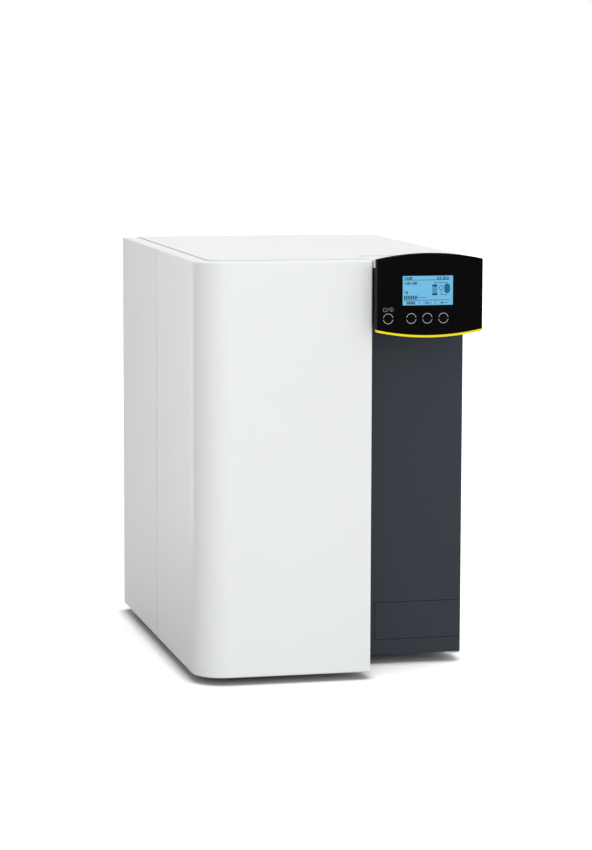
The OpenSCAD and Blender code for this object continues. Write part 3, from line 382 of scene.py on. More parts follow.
# Acetal push-in fittings: ivory white
white_acetal = moulded_plastic(
    "white_acetal_fitting", "#E9E8E3", "#DFDED8", roughness=0.3, grain_mm=2.0, relief_mm=0.02
)
# Magnet holders: a plain grey moulding, dull
holder_plastic = moulded_plastic(
    "magnet_holder_plastic", "#4A4D50", "#404346", roughness=0.5, grain_mm=1.4, relief_mm=0.05
)
# Glass-filled nylon of the pump: black with a coarse, slightly grey surface
filled_nylon = moulded_plastic(
    "glass_filled_nylon", "#232426", "#2C2D2F", roughness=0.55, grain_mm=1.0, relief_mm=0.08
)
# PBT of sockets and switch: deep black, dull
black_pbt = moulded_plastic(
    "black_pbt_socket", "#151516", "#1B1B1C", roughness=0.5, grain_mm=1.2, relief_mm=0.04
)

# %% [markdown]
# ## Black acrylic face
# The face is black acrylic, polished and printed from behind, so it looks almost pure black and
# reflects little of a white room; faint wiping marks vary its gloss. Its edges are milled and
# left dull. A second material could cover them, but the direction of the surface tells them
# apart as well.

# %% Face finish
WIPE_MM = 40
ACRYLIC_IOR = 1.49
EDGE_ROUGHNESS = 0.75

black_acrylic, tree, skin, place = new_material("black_polished_acrylic")
wipe = add_node(
    tree, "ShaderNodeTexNoise",
    {"Scale": 1 / (WIPE_MM * MM), "Detail": 5.0, "Distortion": 1.5}, {"Vector": place},
)
gloss = add_node(
    tree, "ShaderNodeMapRange", {"To Min": 0.05, "To Max": 0.16}, {"Value": wipe.outputs["Fac"]}
)
tint = add_node(
    tree, "ShaderNodeMix",
    {"data_type": "RGBA", COLOUR_A: hex_rgba("#040404"), COLOUR_B: hex_rgba("#070707")},
    {FACTOR: wipe.outputs["Fac"]},
)
surface = add_node(tree, "ShaderNodeNewGeometry")
facing = add_node(tree, "ShaderNodeSeparateXYZ", None, {"Vector": surface.outputs["Normal"]})
flat = add_node(tree, "ShaderNodeMath", {"operation": "ABSOLUTE"}, {FIRST: facing.outputs["Y"]})
edge_gloss = add_node(
    tree, "ShaderNodeMix", {"data_type": "FLOAT", NUMBER_A: EDGE_ROUGHNESS},
    {FACTOR: flat.outputs["Value"], NUMBER_B: gloss.outputs["Result"]},
)
edge_tint = add_node(
    tree, "ShaderNodeMix", {"data_type": "RGBA", COLOUR_A: hex_rgba("#2A2B2B")},
    {FACTOR: flat.outputs["Value"], COLOUR_B: tint.outputs[COLOUR_OUT]},
)
tree.links.new(edge_tint.outputs[COLOUR_OUT], skin.inputs["Base Color"])
tree.links.new(edge_gloss.outputs[NUMBER_OUT], skin.inputs["Roughness"])
skin.inputs["IOR"].default_value = ACRYLIC_IOR
skin.inputs["Specular IOR Level"].default_value = 0.03
print("face finish:", black_acrylic.name)

# %% [markdown]
# ## Lit screen
# The screen is a blue-lit display: it gives its own light, so its colour is emission, and its
# glass adds only a faint reflection. The lamp behind it never spreads quite evenly, which a soft
# haze shows. Close up the dots form a fine grid. Real dots are about a quarter of a millimetre
# wide; they are drawn at half a millimetre so that they show in a close view.

# %% Screen finish
DOT_MM = 0.5
HAZE_MM = 30

lit_screen, tree, skin, place = new_material("blue_lit_display")
dots = add_node(
    tree, "ShaderNodeTexChecker",
    {"Scale": 1 / (DOT_MM * MM), "Color1": hex_rgba("#77BFE3"), "Color2": hex_rgba("#6FBAE0")},
    {"Vector": place},
)
haze = add_node(
    tree, "ShaderNodeTexNoise", {"Scale": 1 / (HAZE_MM * MM), "Detail": 1.0}, {"Vector": place}
)
glow = add_node(
    tree, "ShaderNodeMix", {"data_type": "RGBA", COLOUR_B: hex_rgba("#69B2DB")},
    {FACTOR: haze.outputs["Fac"], COLOUR_A: dots.outputs["Color"]},
)
tree.links.new(glow.outputs[COLOUR_OUT], skin.inputs["Emission Color"])
skin.inputs["Emission Strength"].default_value = 1.0
skin.inputs["Base Color"].default_value = hex_rgba("#12202A")
skin.inputs["Roughness"].default_value = 0.12
skin.inputs["Specular IOR Level"].default_value = 0.2
print("screen finish:", lit_screen.name)

# %% [markdown]
# ## Zinc-plated sheet
# The chassis is zinc-plated sheet steel. The zinc freezes in flakes some millimetres wide that
# tilt differently, so tone and shine change from flake to flake. A cell pattern gives each flake
# random numbers of its own: one sets its tone and another its gloss.

# %% Zinc finish
FLAKE_MM = 7

zinc_sheet, tree, skin, place = new_material("zinc_plated_sheet")
flakes = add_node(tree, "ShaderNodeTexVoronoi", {"Scale": 1 / (FLAKE_MM * MM)}, {"Vector": place})
chance = add_node(tree, "ShaderNodeSeparateColor", None, {"Color": flakes.outputs["Color"]})
tone = add_node(
    tree, "ShaderNodeMix",
    {"data_type": "RGBA", COLOUR_A: hex_rgba("#C9CBCC"), COLOUR_B: hex_rgba("#B9BCBE")},
    {FACTOR: chance.outputs["Red"]},
)
gloss = add_node(
    tree, "ShaderNodeMapRange", {"To Min": 0.34, "To Max": 0.48}, {"Value": chance.outputs["Green"]}
)
tree.links.new(tone.outputs[COLOUR_OUT], skin.inputs["Base Color"])
tree.links.new(gloss.outputs["Result"], skin.inputs["Roughness"])
skin.inputs["Metallic"].default_value = 1.0
print("sheet finish:", zinc_sheet.name)

# %% [markdown]
# ## Ground steel
# Pins, screws and strike plates are ground, which leaves fine straight lines. Noise that is
# stretched along one axis draws them. Real grinding lines are about a tenth of a millimetre
# apart, so they are drawn coarser to show in the render.

# %% Ground steel finish
GRIND_MM = 0.9
GRIND_STRETCH = 25
GRIND_DEPTH_MM = 0.01

ground_steel, tree, skin, place = new_material("ground_steel")
along = add_node(
    tree, "ShaderNodeMapping", {"Scale": (1.0, 1.0, 1 / GRIND_STRETCH)}, {"Vector": place}
)
lines = add_node(
    tree, "ShaderNodeTexNoise", {"Scale": 1 / (GRIND_MM * MM), "Detail": 4.0},
    {"Vector": along.outputs["Vector"]},
)
gloss = add_node(
    tree, "ShaderNodeMapRange", {"To Min": 0.2, "To Max": 0.4}, {"Value": lines.outputs["Fac"]}
)
relief = add_node(
    tree, "ShaderNodeBump", {"Strength": 0.3, "Distance": GRIND_DEPTH_MM * MM},
    {"Height": lines.outputs["Fac"]},
)
tree.links.new(gloss.outputs["Result"], skin.inputs["Roughness"])
tree.links.new(relief.outputs["Normal"], skin.inputs["Normal"])
skin.inputs["Base Color"].default_value = hex_rgba("#C4C6C8")
skin.inputs["Metallic"].default_value = 1.0
print("steel finish:", ground_steel.name)

# %% [markdown]
# ## Cast aluminium
# The motor and the power supply have aluminium cases. A sand-like skin from the casting mould
# makes them dull: small bumps break up the shine, and noise gives both the bumps and the gloss.

# %% Aluminium finish
CAST_MM = 1.3
CAST_DEPTH_MM = 0.06

cast_aluminium, tree, skin, place = new_material("cast_aluminium")
sand = add_node(
    tree, "ShaderNodeTexNoise", {"Scale": 1 / (CAST_MM * MM), "Detail": 6.0}, {"Vector": place}
)
gloss = add_node(
    tree, "ShaderNodeMapRange", {"To Min": 0.4, "To Max": 0.6}, {"Value": sand.outputs["Fac"]}
)
relief = add_node(
    tree, "ShaderNodeBump", {"Strength": 0.5, "Distance": CAST_DEPTH_MM * MM},
    {"Height": sand.outputs["Fac"]},
)
tree.links.new(gloss.outputs["Result"], skin.inputs["Roughness"])
tree.links.new(relief.outputs["Normal"], skin.inputs["Normal"])
skin.inputs["Base Color"].default_value = hex_rgba("#B3B5B8")
skin.inputs["Metallic"].default_value = 1.0
print("aluminium finish:", cast_aluminium.name)

# %% [markdown]
# ## Turned brass
# The valves are turned from brass, which tarnishes in the damp air round water. The tarnish
# comes in soft spots that are darker and duller, so one noise sets both tone and gloss.

# %% Brass finish
TARNISH_MM = 9

turned_brass, tree, skin, place = new_material("turned_brass")
tarnish = add_node(
    tree, "ShaderNodeTexNoise", {"Scale": 1 / (TARNISH_MM * MM), "Detail": 4.0}, {"Vector": place}
)
tone = add_node(
    tree, "ShaderNodeMix",
    {"data_type": "RGBA", COLOUR_A: hex_rgba("#C6A25A"), COLOUR_B: hex_rgba("#A98444")},
    {FACTOR: tarnish.outputs["Fac"]},
)
gloss = add_node(
    tree, "ShaderNodeMapRange", {"To Min": 0.22, "To Max": 0.42}, {"Value": tarnish.outputs["Fac"]}
)
tree.links.new(tone.outputs[COLOUR_OUT], skin.inputs["Base Color"])
tree.links.new(gloss.outputs["Result"], skin.inputs["Roughness"])
skin.inputs["Metallic"].default_value = 1.0
print("brass finish:", turned_brass.name)

# %% [markdown]
# ## Circuit boards
# The boards are glass fibre under green lacquer, and copper lines show through it in a paler
# green. A brick pattern is enough for them: its joints run straight and turn at right angles,
# as the lines on a board do.

# %% Board finish
TRACE_MM = 3.2

green_board, tree, skin, place = new_material("green_lacquered_board")
traces = add_node(
    tree, "ShaderNodeTexBrick",
    {
        "Scale": 1 / (TRACE_MM * MM), "Mortar Size": 0.06, "Brick Width": 2.5, "Row Height": 0.5,
        "Color1": hex_rgba("#0F5B32"), "Color2": hex_rgba("#0D522D"), "Mortar": hex_rgba("#2A7B4C"),
    },
    {"Vector": place},
)
tree.links.new(traces.outputs["Color"], skin.inputs["Base Color"])
skin.inputs["Roughness"].default_value = 0.3
skin.inputs["Coat Weight"].default_value = 0.3
print("board finish:", green_board.name)

# %% [markdown]
# ## Membrane wrap
# The membranes are wound in a slanting tape, so their wrap shows as a shallow spiral. Waves
# along the roll, with their pattern tilted a little, give both the tone and the low steps of
# the tape. At a scale of 1 the wave pattern has 3.2 bands in a metre.

# %% Membrane finish
WRAP_MM = 22
WRAP_STEP_MM = 0.3
WRAP_SLANT = 0.35
WAVE_BANDS = 3.2

wound_membrane, tree, skin, place = new_material("wound_membrane_wrap")
slant = add_node(
    tree, "ShaderNodeMapping", {"Rotation": (WRAP_SLANT, 0.0, 0.0)}, {"Vector": place}
)
wrap = add_node(
    tree, "ShaderNodeTexWave",
    {
        "wave_type": "BANDS", "bands_direction": "Z", "Distortion": 0.4,
        "Scale": 1 / (WRAP_MM * MM) / WAVE_BANDS,
    },
    {"Vector": slant.outputs["Vector"]},
)
tone = add_node(
    tree, "ShaderNodeMix",
    {"data_type": "RGBA", COLOUR_A: hex_rgba("#E4DFCB"), COLOUR_B: hex_rgba("#D3CCB2")},
    {FACTOR: wrap.outputs["Fac"]},
)
relief = add_node(
    tree, "ShaderNodeBump", {"Strength": 0.5, "Distance": WRAP_STEP_MM * MM},
    {"Height": wrap.outputs["Fac"]},
)
tree.links.new(tone.outputs[COLOUR_OUT], skin.inputs["Base Color"])
tree.links.new(relief.outputs["Normal"], skin.inputs["Normal"])
skin.inputs["Roughness"].default_value = 0.5
print("membrane finish:", wound_membrane.name)

# %% [markdown]
# ## Polyethylene tubes
# The tubes are drawn from polyethylene, milky and a little translucent. Full glass would look
# too clear, so only a quarter of the light passes, and a soft noise makes the milk uneven.

# %% Tube finish
MILK_MM = 14
TUBE_IOR = 1.51

milky_tube, tree, skin, place = new_material("milky_polyethylene_tube")
milk = add_node(
    tree, "ShaderNodeTexNoise", {"Scale": 1 / (MILK_MM * MM), "Detail": 2.0}, {"Vector": place}
)
tone = add_node(
    tree, "ShaderNodeMix",
    {"data_type": "RGBA", COLOUR_A: hex_rgba("#E6EEF2"), COLOUR_B: hex_rgba("#D6E2E9")},
    {FACTOR: milk.outputs["Fac"]},
)
tree.links.new(tone.outputs[COLOUR_OUT], skin.inputs["Base Color"])
skin.inputs["Roughness"].default_value = 0.28
skin.inputs["Transmission Weight"].default_value = 0.25
skin.inputs["IOR"].default_value = TUBE_IOR
print("tube finish:", milky_tube.name)

# %% [markdown]
# ## Dressing the CAD parts
# The record names a material slot for every CAD part. Each slot gets one of the finishes above,
# and each part takes the finish of its slot.

# %% Finishes by slot
FINISH_OF_SLOT = {
    "white_panel": white_abs,
    "anthracite_panel": anthracite_abs,
    "gloss_black": black_acrylic,
    "accent_yellow": yellow_abs,
    "screen_blue": lit_screen,
    "key_black": key_abs,
    "sheet_steel": zinc_sheet,
    "pin_steel": ground_steel,
    "magnet_grey": holder_plastic,
    "rubber_black": foot_rubber,
    "board_green": green_board,
    "tray_grey": grey_polypropylene,
    "cartridge_white": white_polypropylene,
    "cap_blue": blue_polypropylene,
    "clip_grey": grey_acetal,
    "membrane_ivory": wound_membrane,
    "fitting_white": white_acetal,
    "tube_clear": milky_tube,
    "pump_black": filled_nylon,
    "motor_metal": cast_aluminium,
    "valve_brass": turned_brass,
    "socket_black": black_pbt,
}
for subpart in frame["record"]["subparts"]:
    part = frame["nodes"][subpart["node"]]
    part.data.materials.clear()
    part.data.materials.append(FINISH_OF_SLOT[subpart["material_slot"]])

# %% [markdown]
# ## Helpers for small pieces
# An operator acts on all that is selected, so each step first selects the one object that it is
# for. When a piece is done, its turn and place are applied, so that the object sits at the
# origin and its place is in its mesh. It then gets its finish, and the body that it moves with.

# %% Piece helpers
def only(obj):
    bpy.ops.object.select_all(action="DESELECT")
    obj.select_set(True)
    bpy.context.view_layer.objects.active = obj


def joined(objs, name):
    only(objs[0])
    for obj in objs:
        obj.select_set(True)
    if len(objs) > 1:
        bpy.ops.object.join()
    objs[0].name = name
    objs[0].data.name = name
    return objs[0]


def apply_modifier(obj, kind, **settings):
    only(obj)
    modifier = obj.modifiers.new(kind.lower(), kind)
    for name, value in settings.items():
        setattr(modifier, name, value)
    bpy.ops.object.modifier_apply(modifier=modifier.name)


def settle(obj, place, turn=(0, 0, 0)):
    only(obj)
    obj.rotation_euler = turn
    obj.location = place
    bpy.ops.object.transform_apply(location=True, rotation=True, scale=True)


def hand_over(obj, body, material):
    obj.data.materials.clear()
    obj.data.materials.append(material)
    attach(obj, body)
    print(obj.name, "on", body, "with", len(obj.data.polygons), "faces")


def middle_of(node):
    low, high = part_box(node)
    return (Vector(low) + Vector(high)) / 2


print("middle of the screen:", [round(c, 4) for c in middle_of("screen")])

# %% [markdown]
# ## Flat marks
# Printed marks are drawn lying flat, seen from above, because that is the easiest way to draw.
# All marks of one ink are then joined, given the thickness of a layer of ink, and stood up
# against the surface that carries them.

# %% Helpers for flat marks
PRINT_MM = 0.05
MERGE_MM = 0.001
FONT_PER_HEIGHT = 1.4
STROKE_SHARE = 0.045
FACING_FRONT = (math.pi / 2, 0, 0)
FACING_REAR = (math.pi / 2, 0, math.pi)


# A flat strip between two corners, in millimetres
def strip(u0, v0, u1, v1):
    bpy.ops.mesh.primitive_plane_add(size=1)
    obj = bpy.context.object
    obj.scale = ((u1 - u0) * MM, (v1 - v0) * MM, 1)
    settle(obj, ((u0 + u1) / 2 * MM, (v0 + v1) / 2 * MM, 0))
    return obj


# A flat ring round a point, in millimetres, left open at each gap: its angle and half width
def ring(u, v, outer, inner, gaps=(), corners=96):
    bpy.ops.mesh.primitive_circle_add(vertices=corners, radius=outer * MM, fill_type="NOTHING")
    obj = bpy.context.object
    bpy.ops.object.mode_set(mode="EDIT")
    bpy.ops.mesh.select_all(action="SELECT")
    bpy.ops.mesh.extrude_edges_move()
    bpy.ops.transform.resize(value=(inner / outer, inner / outer, 1))
    mesh = bmesh.from_edit_mesh(obj.data)
    for face in mesh.faces:
        middle = face.calc_center_median()
        angle = math.degrees(math.atan2(middle.y, middle.x))
        off = [abs((angle - gap + 180) % 360 - 180) - half for gap, half in gaps]
        face.select_set(any(o < 0 for o in off))
    bmesh.update_edit_mesh(obj.data)
    bpy.ops.mesh.delete(type="FACE")
    bpy.ops.object.mode_set(mode="OBJECT")
    settle(obj, (u * MM, v * MM, 0))
    return obj


# Numerals of one height, in millimetres, with thick strokes, as a flat mesh
def numerals(text, u, v, height):
    bpy.ops.object.text_add()
    obj = bpy.context.object
    obj.data.body = text
    obj.data.size = height * MM * FONT_PER_HEIGHT
    obj.data.offset = height * MM * STROKE_SHARE
    bpy.ops.object.convert(target="MESH")
    settle(obj, (u * MM, v * MM, 0))
    return obj


# The flat marks become one thin layer, which stands up and faces the front unless turned
def printed(marks, name, corner, turn=FACING_FRONT, thickness=PRINT_MM):
    ink = joined(marks, name)
    only(ink)
    bpy.ops.object.mode_set(mode="EDIT")
    bpy.ops.mesh.select_all(action="SELECT")
    bpy.ops.mesh.remove_doubles(threshold=MERGE_MM * MM)
    bpy.ops.mesh.normals_make_consistent(inside=False)
    mesh = bmesh.from_edit_mesh(ink.data)
    for face in mesh.faces:
        if face.normal.z < 0:
            face.normal_flip()
    bmesh.update_edit_mesh(ink.data)
    bpy.ops.object.mode_set(mode="OBJECT")
    apply_modifier(ink, "SOLIDIFY", thickness=thickness * MM, offset=1)
    settle(ink, corner, turn)
    return ink


print("a layer of ink is", PRINT_MM, "mm thick")

# %% [markdown]
# ## Printed inks
# The marks on the face and the keys are screen printed in light grey, the rocker's signs are pad
# printed in white, and the display draws its figures in dark blue. Ink is never perfectly even,
# so a fine noise varies its tone. The display's dots lie behind glass, so they have no shine of
# their own, and they glow a little with the light behind them.

# %% Inks
INK_MM = 0.8


def printed_ink(name, main, shade, glow=0.0, specular=0.5):
    material, tree, skin, place = new_material(name)
    speckle = add_node(
        tree, "ShaderNodeTexNoise", {"Scale": 1 / (INK_MM * MM), "Detail": 2.0}, {"Vector": place}
    )
    tone = add_node(
        tree, "ShaderNodeMix",
        {"data_type": "RGBA", COLOUR_A: hex_rgba(main), COLOUR_B: hex_rgba(shade)},
        {FACTOR: speckle.outputs["Fac"]},
    )
    tree.links.new(tone.outputs[COLOUR_OUT], skin.inputs["Base Color"])
    skin.inputs["Roughness"].default_value = 0.5
    skin.inputs["Emission Color"].default_value = hex_rgba(main)
    skin.inputs["Emission Strength"].default_value = glow
    skin.inputs["Specular IOR Level"].default_value = specular
    print("ink:", name)
    return material


grey_ink = printed_ink("light_grey_screen_print", "#C2C3C4", "#B6B7B8")
white_ink = printed_ink("white_pad_print", "#F2F2F0", "#E6E6E4")
display_ink = printed_ink(
    "dark_blue_display_dots", "#0E3248", "#0B2A3D", glow=0.3, specular=0.0
)
pale_display_ink = printed_ink(
    "half_lit_display_dots", "#1F5B70", "#1C546A", glow=0.5, specular=0.0
)

# %% [markdown]
# ## Rings on the keys
# Each key shows as a thin grey ring that is open at its left and right, so it reads as two
# arcs. The ring is printed on the flat rim round the key's dished top and moves with the key.

# %% Key rings
RING_OUTER = 6.1
RING_INNER = 5.58
RING_GAPS = ((0, 13), (180, 13))
KEYS = {
    "standby_key": "standby_button",
    "soft_key_left": "left_button",
    "soft_key_middle": "middle_button",
    "soft_key_right": "right_button",
}

face_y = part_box("head_face")[0][1]
for node, body in KEYS.items():
    middle = middle_of(node)
    arcs = ring(0, 0, RING_OUTER, RING_INNER, RING_GAPS)
    mark = printed([arcs], node + "_ring", (middle.x, face_y, middle.z))
    hand_over(mark, body, grey_ink)

# %% [markdown]
# ## On and standby mark
# Above the first key the face carries the usual pair of generic signs: a ring that is open at
# the top with a stroke in the gap, a slash, and a closed ring with a stroke. They are drawn
# round a middle point, which is then set above the middle of the key.

# %% On and standby mark
SIGN_RISE = 10.9
SIGN_STEP = 3.9
SIGN_OUTER = 2.4
SIGN_INNER = 2.16
SIGN_GAP = (90, 30)
STROKE_HALF = 0.12
GAP_STROKE_LOW = 0.5
GAP_STROKE_HIGH = 2.7
RING_STROKE_END = 1.2
SLASH_HALF = 0.1
SLASH_LEAN = -0.4

slash = strip(-SLASH_HALF, -SIGN_OUTER, SLASH_HALF, SIGN_OUTER)
settle(slash, (0, 0, 0), (0, 0, SLASH_LEAN))
signs = [
    ring(-SIGN_STEP, 0, SIGN_OUTER, SIGN_INNER, (SIGN_GAP,)),
    strip(
        -SIGN_STEP - STROKE_HALF, GAP_STROKE_LOW,
        -SIGN_STEP + STROKE_HALF, GAP_STROKE_HIGH,
    ),
    slash,
    ring(SIGN_STEP, 0, SIGN_OUTER, SIGN_INNER),
    strip(
        SIGN_STEP - STROKE_HALF, -RING_STROKE_END,
        SIGN_STEP + STROKE_HALF, RING_STROKE_END,
    ),
]
middle = middle_of("standby_key")
mark = printed(signs, "standby_signs", (middle.x, face_y, middle.z + SIGN_RISE * MM))
hand_over(mark, "cabinet", grey_ink)

# %% [markdown]
# ## Figures on the display
# The display shows a status page: a head line with numbers, two readings, a level bar, a small
# flow picture and a foot line. An image could be laid on the screen, but drawn shapes stay
# sharp in a close view, so the page is drawn flat from strips, rings and numerals. They are
# measured in millimetres from the lower left corner of the part of the screen that the window
# shows. The numbers, the rules and the bar come first.

# %% Display numbers, rules and bar
SCREEN_LAP = 4
LEFT_EDGE = 1.8
RIGHT_MARGIN = 4.4
LINE = 0.55
TEXT_H = 3.2
HEAD_TEXT = 30.5
HEAD_TEXT_RIGHT = 41.9
UPPER_TEXT = 24.5
LOWER_TEXT = 13.6
HEAD_RULE = 29.6
FOOT_RULE = 5.8
DIVIDERS = (20.1, 39.8)
DIVIDER_LOW = 1.2
DIVIDER_HIGH = 4.6
BAR_LOW = 7.0
BAR_HIGH = 11.6
BAR_SEGMENTS = 8
BAR_PITCH = 2.15
BAR_FILL = 0.6
EMPTY_BAR = (19.4, 29.1)
EMPTY_BAR_LOW = 8.9

screen_low, screen_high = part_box("screen")
window_corner = Vector((
    screen_low[0] + SCREEN_LAP * MM, screen_low[1], screen_low[2] + SCREEN_LAP * MM,
))
right_edge = (screen_high[0] - screen_low[0]) / MM - 2 * SCREEN_LAP - RIGHT_MARGIN

figures = [
    numerals("12:00", LEFT_EDGE, HEAD_TEXT, TEXT_H),
    numerals("0.5 25.0", HEAD_TEXT_RIGHT, HEAD_TEXT, TEXT_H),
    numerals("1.50 100", LEFT_EDGE, UPPER_TEXT, TEXT_H),
    numerals("60", LEFT_EDGE, LOWER_TEXT, TEXT_H),
]
for rule in (HEAD_RULE, FOOT_RULE):
    figures.append(strip(LEFT_EDGE, rule, right_edge, rule + LINE))
for divider in DIVIDERS:
    figures.append(strip(divider, DIVIDER_LOW, divider + LINE, DIVIDER_HIGH))
figures.append(strip(EMPTY_BAR[0], EMPTY_BAR_LOW, EMPTY_BAR[1], EMPTY_BAR_LOW + LINE))
for i in range(BAR_SEGMENTS):
    left = LEFT_EDGE + BAR_PITCH * i
    figures.append(strip(left, BAR_LOW, left + BAR_PITCH * BAR_FILL, BAR_HIGH))
print("marks of numbers, rules and bar:", len(figures))

# %% [markdown]
# ## Flow picture
# At the right of the page a small picture shows the way of the water: a vessel with two dark end
# caps, a round pump sign, a tank with round ends, and the pipes between them. Dots that are only
# half lit draw the lines inside the vessel and fill the tank, so these shapes are kept apart for
# a paler ink.

# %% Flow picture
VESSEL = (36.2, 11.8, 42.2, 24.2)
VESSEL_CAP = 2.0
VESSEL_WALL_IN = 0.3
VESSEL_WALL = 0.5
INNER_LINES = 3
INNER_LINES_IN = 1.4
INNER_PITCH = 1.25
INNER_LINE = 0.7
PUMP = (47.0, 20.6)
PUMP_R = 2.7
PIPE = 0.6
RISER_U = 38.9
RISER_TOP = 26.4
TOP_PIPE = 26.2
DROP_U = 46.7
DROP_TOP = 18.0
LOW_PIPE = 12.0
PIPES_END = 54.6
TANK = (51.5, 17.2, 57.2, 22.0)
TANK_LINE = 0.5
TANK_HUB = 0.05
END_GAP_HALF = 89

left, low, right, high = VESSEL
inner_low = low + VESSEL_CAP
inner_high = high - VESSEL_CAP
wall_out = VESSEL_WALL_IN + VESSEL_WALL
figures += [
    strip(left, low, right, inner_low),
    strip(left, inner_high, right, high),
    strip(left + VESSEL_WALL_IN, inner_low, left + wall_out, inner_high),
    strip(right - wall_out, inner_low, right - VESSEL_WALL_IN, inner_high),
    ring(*PUMP, PUMP_R, PUMP_R - PIPE),
    strip(RISER_U, high, RISER_U + PIPE, RISER_TOP),
    strip(RISER_U, TOP_PIPE, PIPES_END, TOP_PIPE + LINE),
    strip(DROP_U, LOW_PIPE, DROP_U + PIPE, DROP_TOP),
    strip(DROP_U, LOW_PIPE, PIPES_END, LOW_PIPE + LINE),
]
half_lit = []
for i in range(INNER_LINES):
    start = left + INNER_LINES_IN + INNER_PITCH * i
    half_lit.append(strip(start, inner_low, start + INNER_LINE, inner_high))

left, low, right, high = TANK
half_lit.append(strip(*TANK))
figures.append(strip(left - TANK_LINE, low, left, high))
figures.append(strip(right, low, right + TANK_LINE, high))
tank_r = (right - left) / 2
for tank_end, open_way in ((low, 90), (high, -90)):
    gap = (open_way, END_GAP_HALF)
    half_lit.append(ring(left + tank_r, tank_end, tank_r - TANK_HUB, TANK_HUB, (gap,)))
    figures.append(ring(left + tank_r, tank_end, tank_r + TANK_LINE, tank_r, (gap,)))
print("dark marks:", len(figures), "and half-lit marks:", len(half_lit))

# %% [markdown]
# ## Signs over the soft keys
# The foot line has a sign over each soft key: a list, a cycle, and a plus with a minus. With them
# the page is complete. The dark marks become one thin layer on the screen, and the half-lit ones
# another.

# %% Soft key signs and the print
LIST_SIDES = (4.8, 15.2)
LIST_ROWS = (1.3, 2.5, 3.7)
LIST_LINE = 0.8
CYCLE = (30.2, 2.9)
CYCLE_R = 1.7
CYCLE_LINE = 0.8
CYCLE_GAP = (40, 24)
DASH_LOW = 2.5
DASH_HIGH = 3.3
CYCLE_DASHES = ((33.0, 35.0), (25.4, 27.4))
PLUS_DASH = (46.4, 50.0)
MINUS_DASH = (51.6, 54.8)
PLUS_STROKE = (47.8, 1.1, 48.6, 4.7)

for row in LIST_ROWS:
    figures.append(strip(LIST_SIDES[0], row, LIST_SIDES[1], row + LIST_LINE))
figures.append(ring(*CYCLE, CYCLE_R, CYCLE_R - CYCLE_LINE, (CYCLE_GAP,)))
for start, end in (*CYCLE_DASHES, PLUS_DASH, MINUS_DASH):
    figures.append(strip(start, DASH_LOW, end, DASH_HIGH))
figures.append(strip(*PLUS_STROKE))

page = printed(figures, "display_figures", window_corner)
hand_over(page, "cabinet", display_ink)
page = printed(half_lit, "display_half_lit_figures", window_corner)
hand_over(page, "cabinet", pale_display_ink)

# %% [markdown]
# ## One screw
# The sheet metal is held by pan-head screws with a cross recess. One screw is modelled from a
# cylinder: its top edge is bevelled to a dome, and two crossed bars are cut out of it.

# %% One screw
SCREW_R = 3.4
SCREW_H = 2.0
SCREW_CORNERS = 40
DOME_SHARE = 0.7
RECESS = (4.0, 0.9, 1.2)

bpy.ops.mesh.primitive_cylinder_add(
    vertices=SCREW_CORNERS, radius=SCREW_R * MM, depth=SCREW_H * MM
)
screw = bpy.context.object
settle(screw, (0, 0, SCREW_H / 2 * MM))
bpy.ops.object.mode_set(mode="EDIT")
mesh = bmesh.from_edit_mesh(screw.data)
for edge in mesh.edges:
    edge.select_set(all(v.co.z > SCREW_H / 2 * MM for v in edge.verts))
bmesh.update_edit_mesh(screw.data)
bpy.ops.mesh.bevel(offset=SCREW_H * DOME_SHARE * MM, segments=5)
bpy.ops.object.mode_set(mode="OBJECT")
for angle in (0, math.pi / 2):
    bpy.ops.mesh.primitive_cube_add(size=1)
    cutter = bpy.context.object
    cutter.scale = [side * MM for side in RECESS]
    settle(cutter, (0, 0, SCREW_H * MM), (0, 0, angle))
    apply_modifier(screw, "BOOLEAN", object=cutter, operation="DIFFERENCE", solver="EXACT")
    bpy.data.objects.remove(cutter)
print("screw faces:", len(screw.data.polygons))

# %% [markdown]
# ## Screws in their places
# Copies of the screw are laid on the panels, each with its own mesh, and joined to one piece per
# panel. Their places are measured from the edges of the panel, as in a drawing. Only the rows on
# the base pan and the bulkhead are measured from the origin.

# %% Screws in their places
SHEET_EDGE = 12
REAR_ROWS = 4
UNDER_FLANGE = 36
LID_EDGE = 25
LID_DROP = 13
LID_SCREWS = 3
PAN_LEFT = 40
PAN_RIGHT = 60
PAN_ROWS = (-80, 60, 140)
WALL_ROWS = (100, 256, 410)
INLET_SIDE = 20


def screws(name, places, facing):
    turn = Vector((0, 0, 1)).rotation_difference(Vector(facing)).to_matrix().to_4x4()
    copies = []
    for place in places:
        copy = bpy.data.objects.new(name, screw.data.copy())
        copy.data.transform(Matrix.Translation(place) @ turn)
        scene.collection.objects.link(copy)
        copies.append(copy)
    hand_over(joined(copies, name), "cabinet", ground_steel)


def spread(first, last, count):
    return [first + i * (last - first) / (count - 1) for i in range(count)]


low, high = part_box("rear_panel")
columns = (low[0] + SHEET_EDGE * MM, high[0] - SHEET_EDGE * MM)
rows = spread(low[2] + SHEET_EDGE * MM, high[2] - UNDER_FLANGE * MM, REAR_ROWS)
screws("rear_panel_screws", [(x, high[1], z) for x in columns for z in rows], (0, 1, 0))

low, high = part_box("top_lid")
columns = spread(low[0] + LID_EDGE * MM, high[0] - LID_EDGE * MM, LID_SCREWS)
screws("lid_screws", [(x, high[1], high[2] - LID_DROP * MM) for x in columns], (0, 1, 0))

low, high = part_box("base_pan")
columns = (low[0] + PAN_LEFT * MM, high[0] - PAN_RIGHT * MM)
screws("base_screws", [(x, y * MM, low[2]) for x in columns for y in PAN_ROWS], (0, 0, -1))

low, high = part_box("bulkhead")
columns = (low[0] + SHEET_EDGE * MM, high[0] - SHEET_EDGE * MM)
screws("bulkhead_screws", [(x, low[1], z * MM) for x in columns for z in WALL_ROWS], (0, -1, 0))

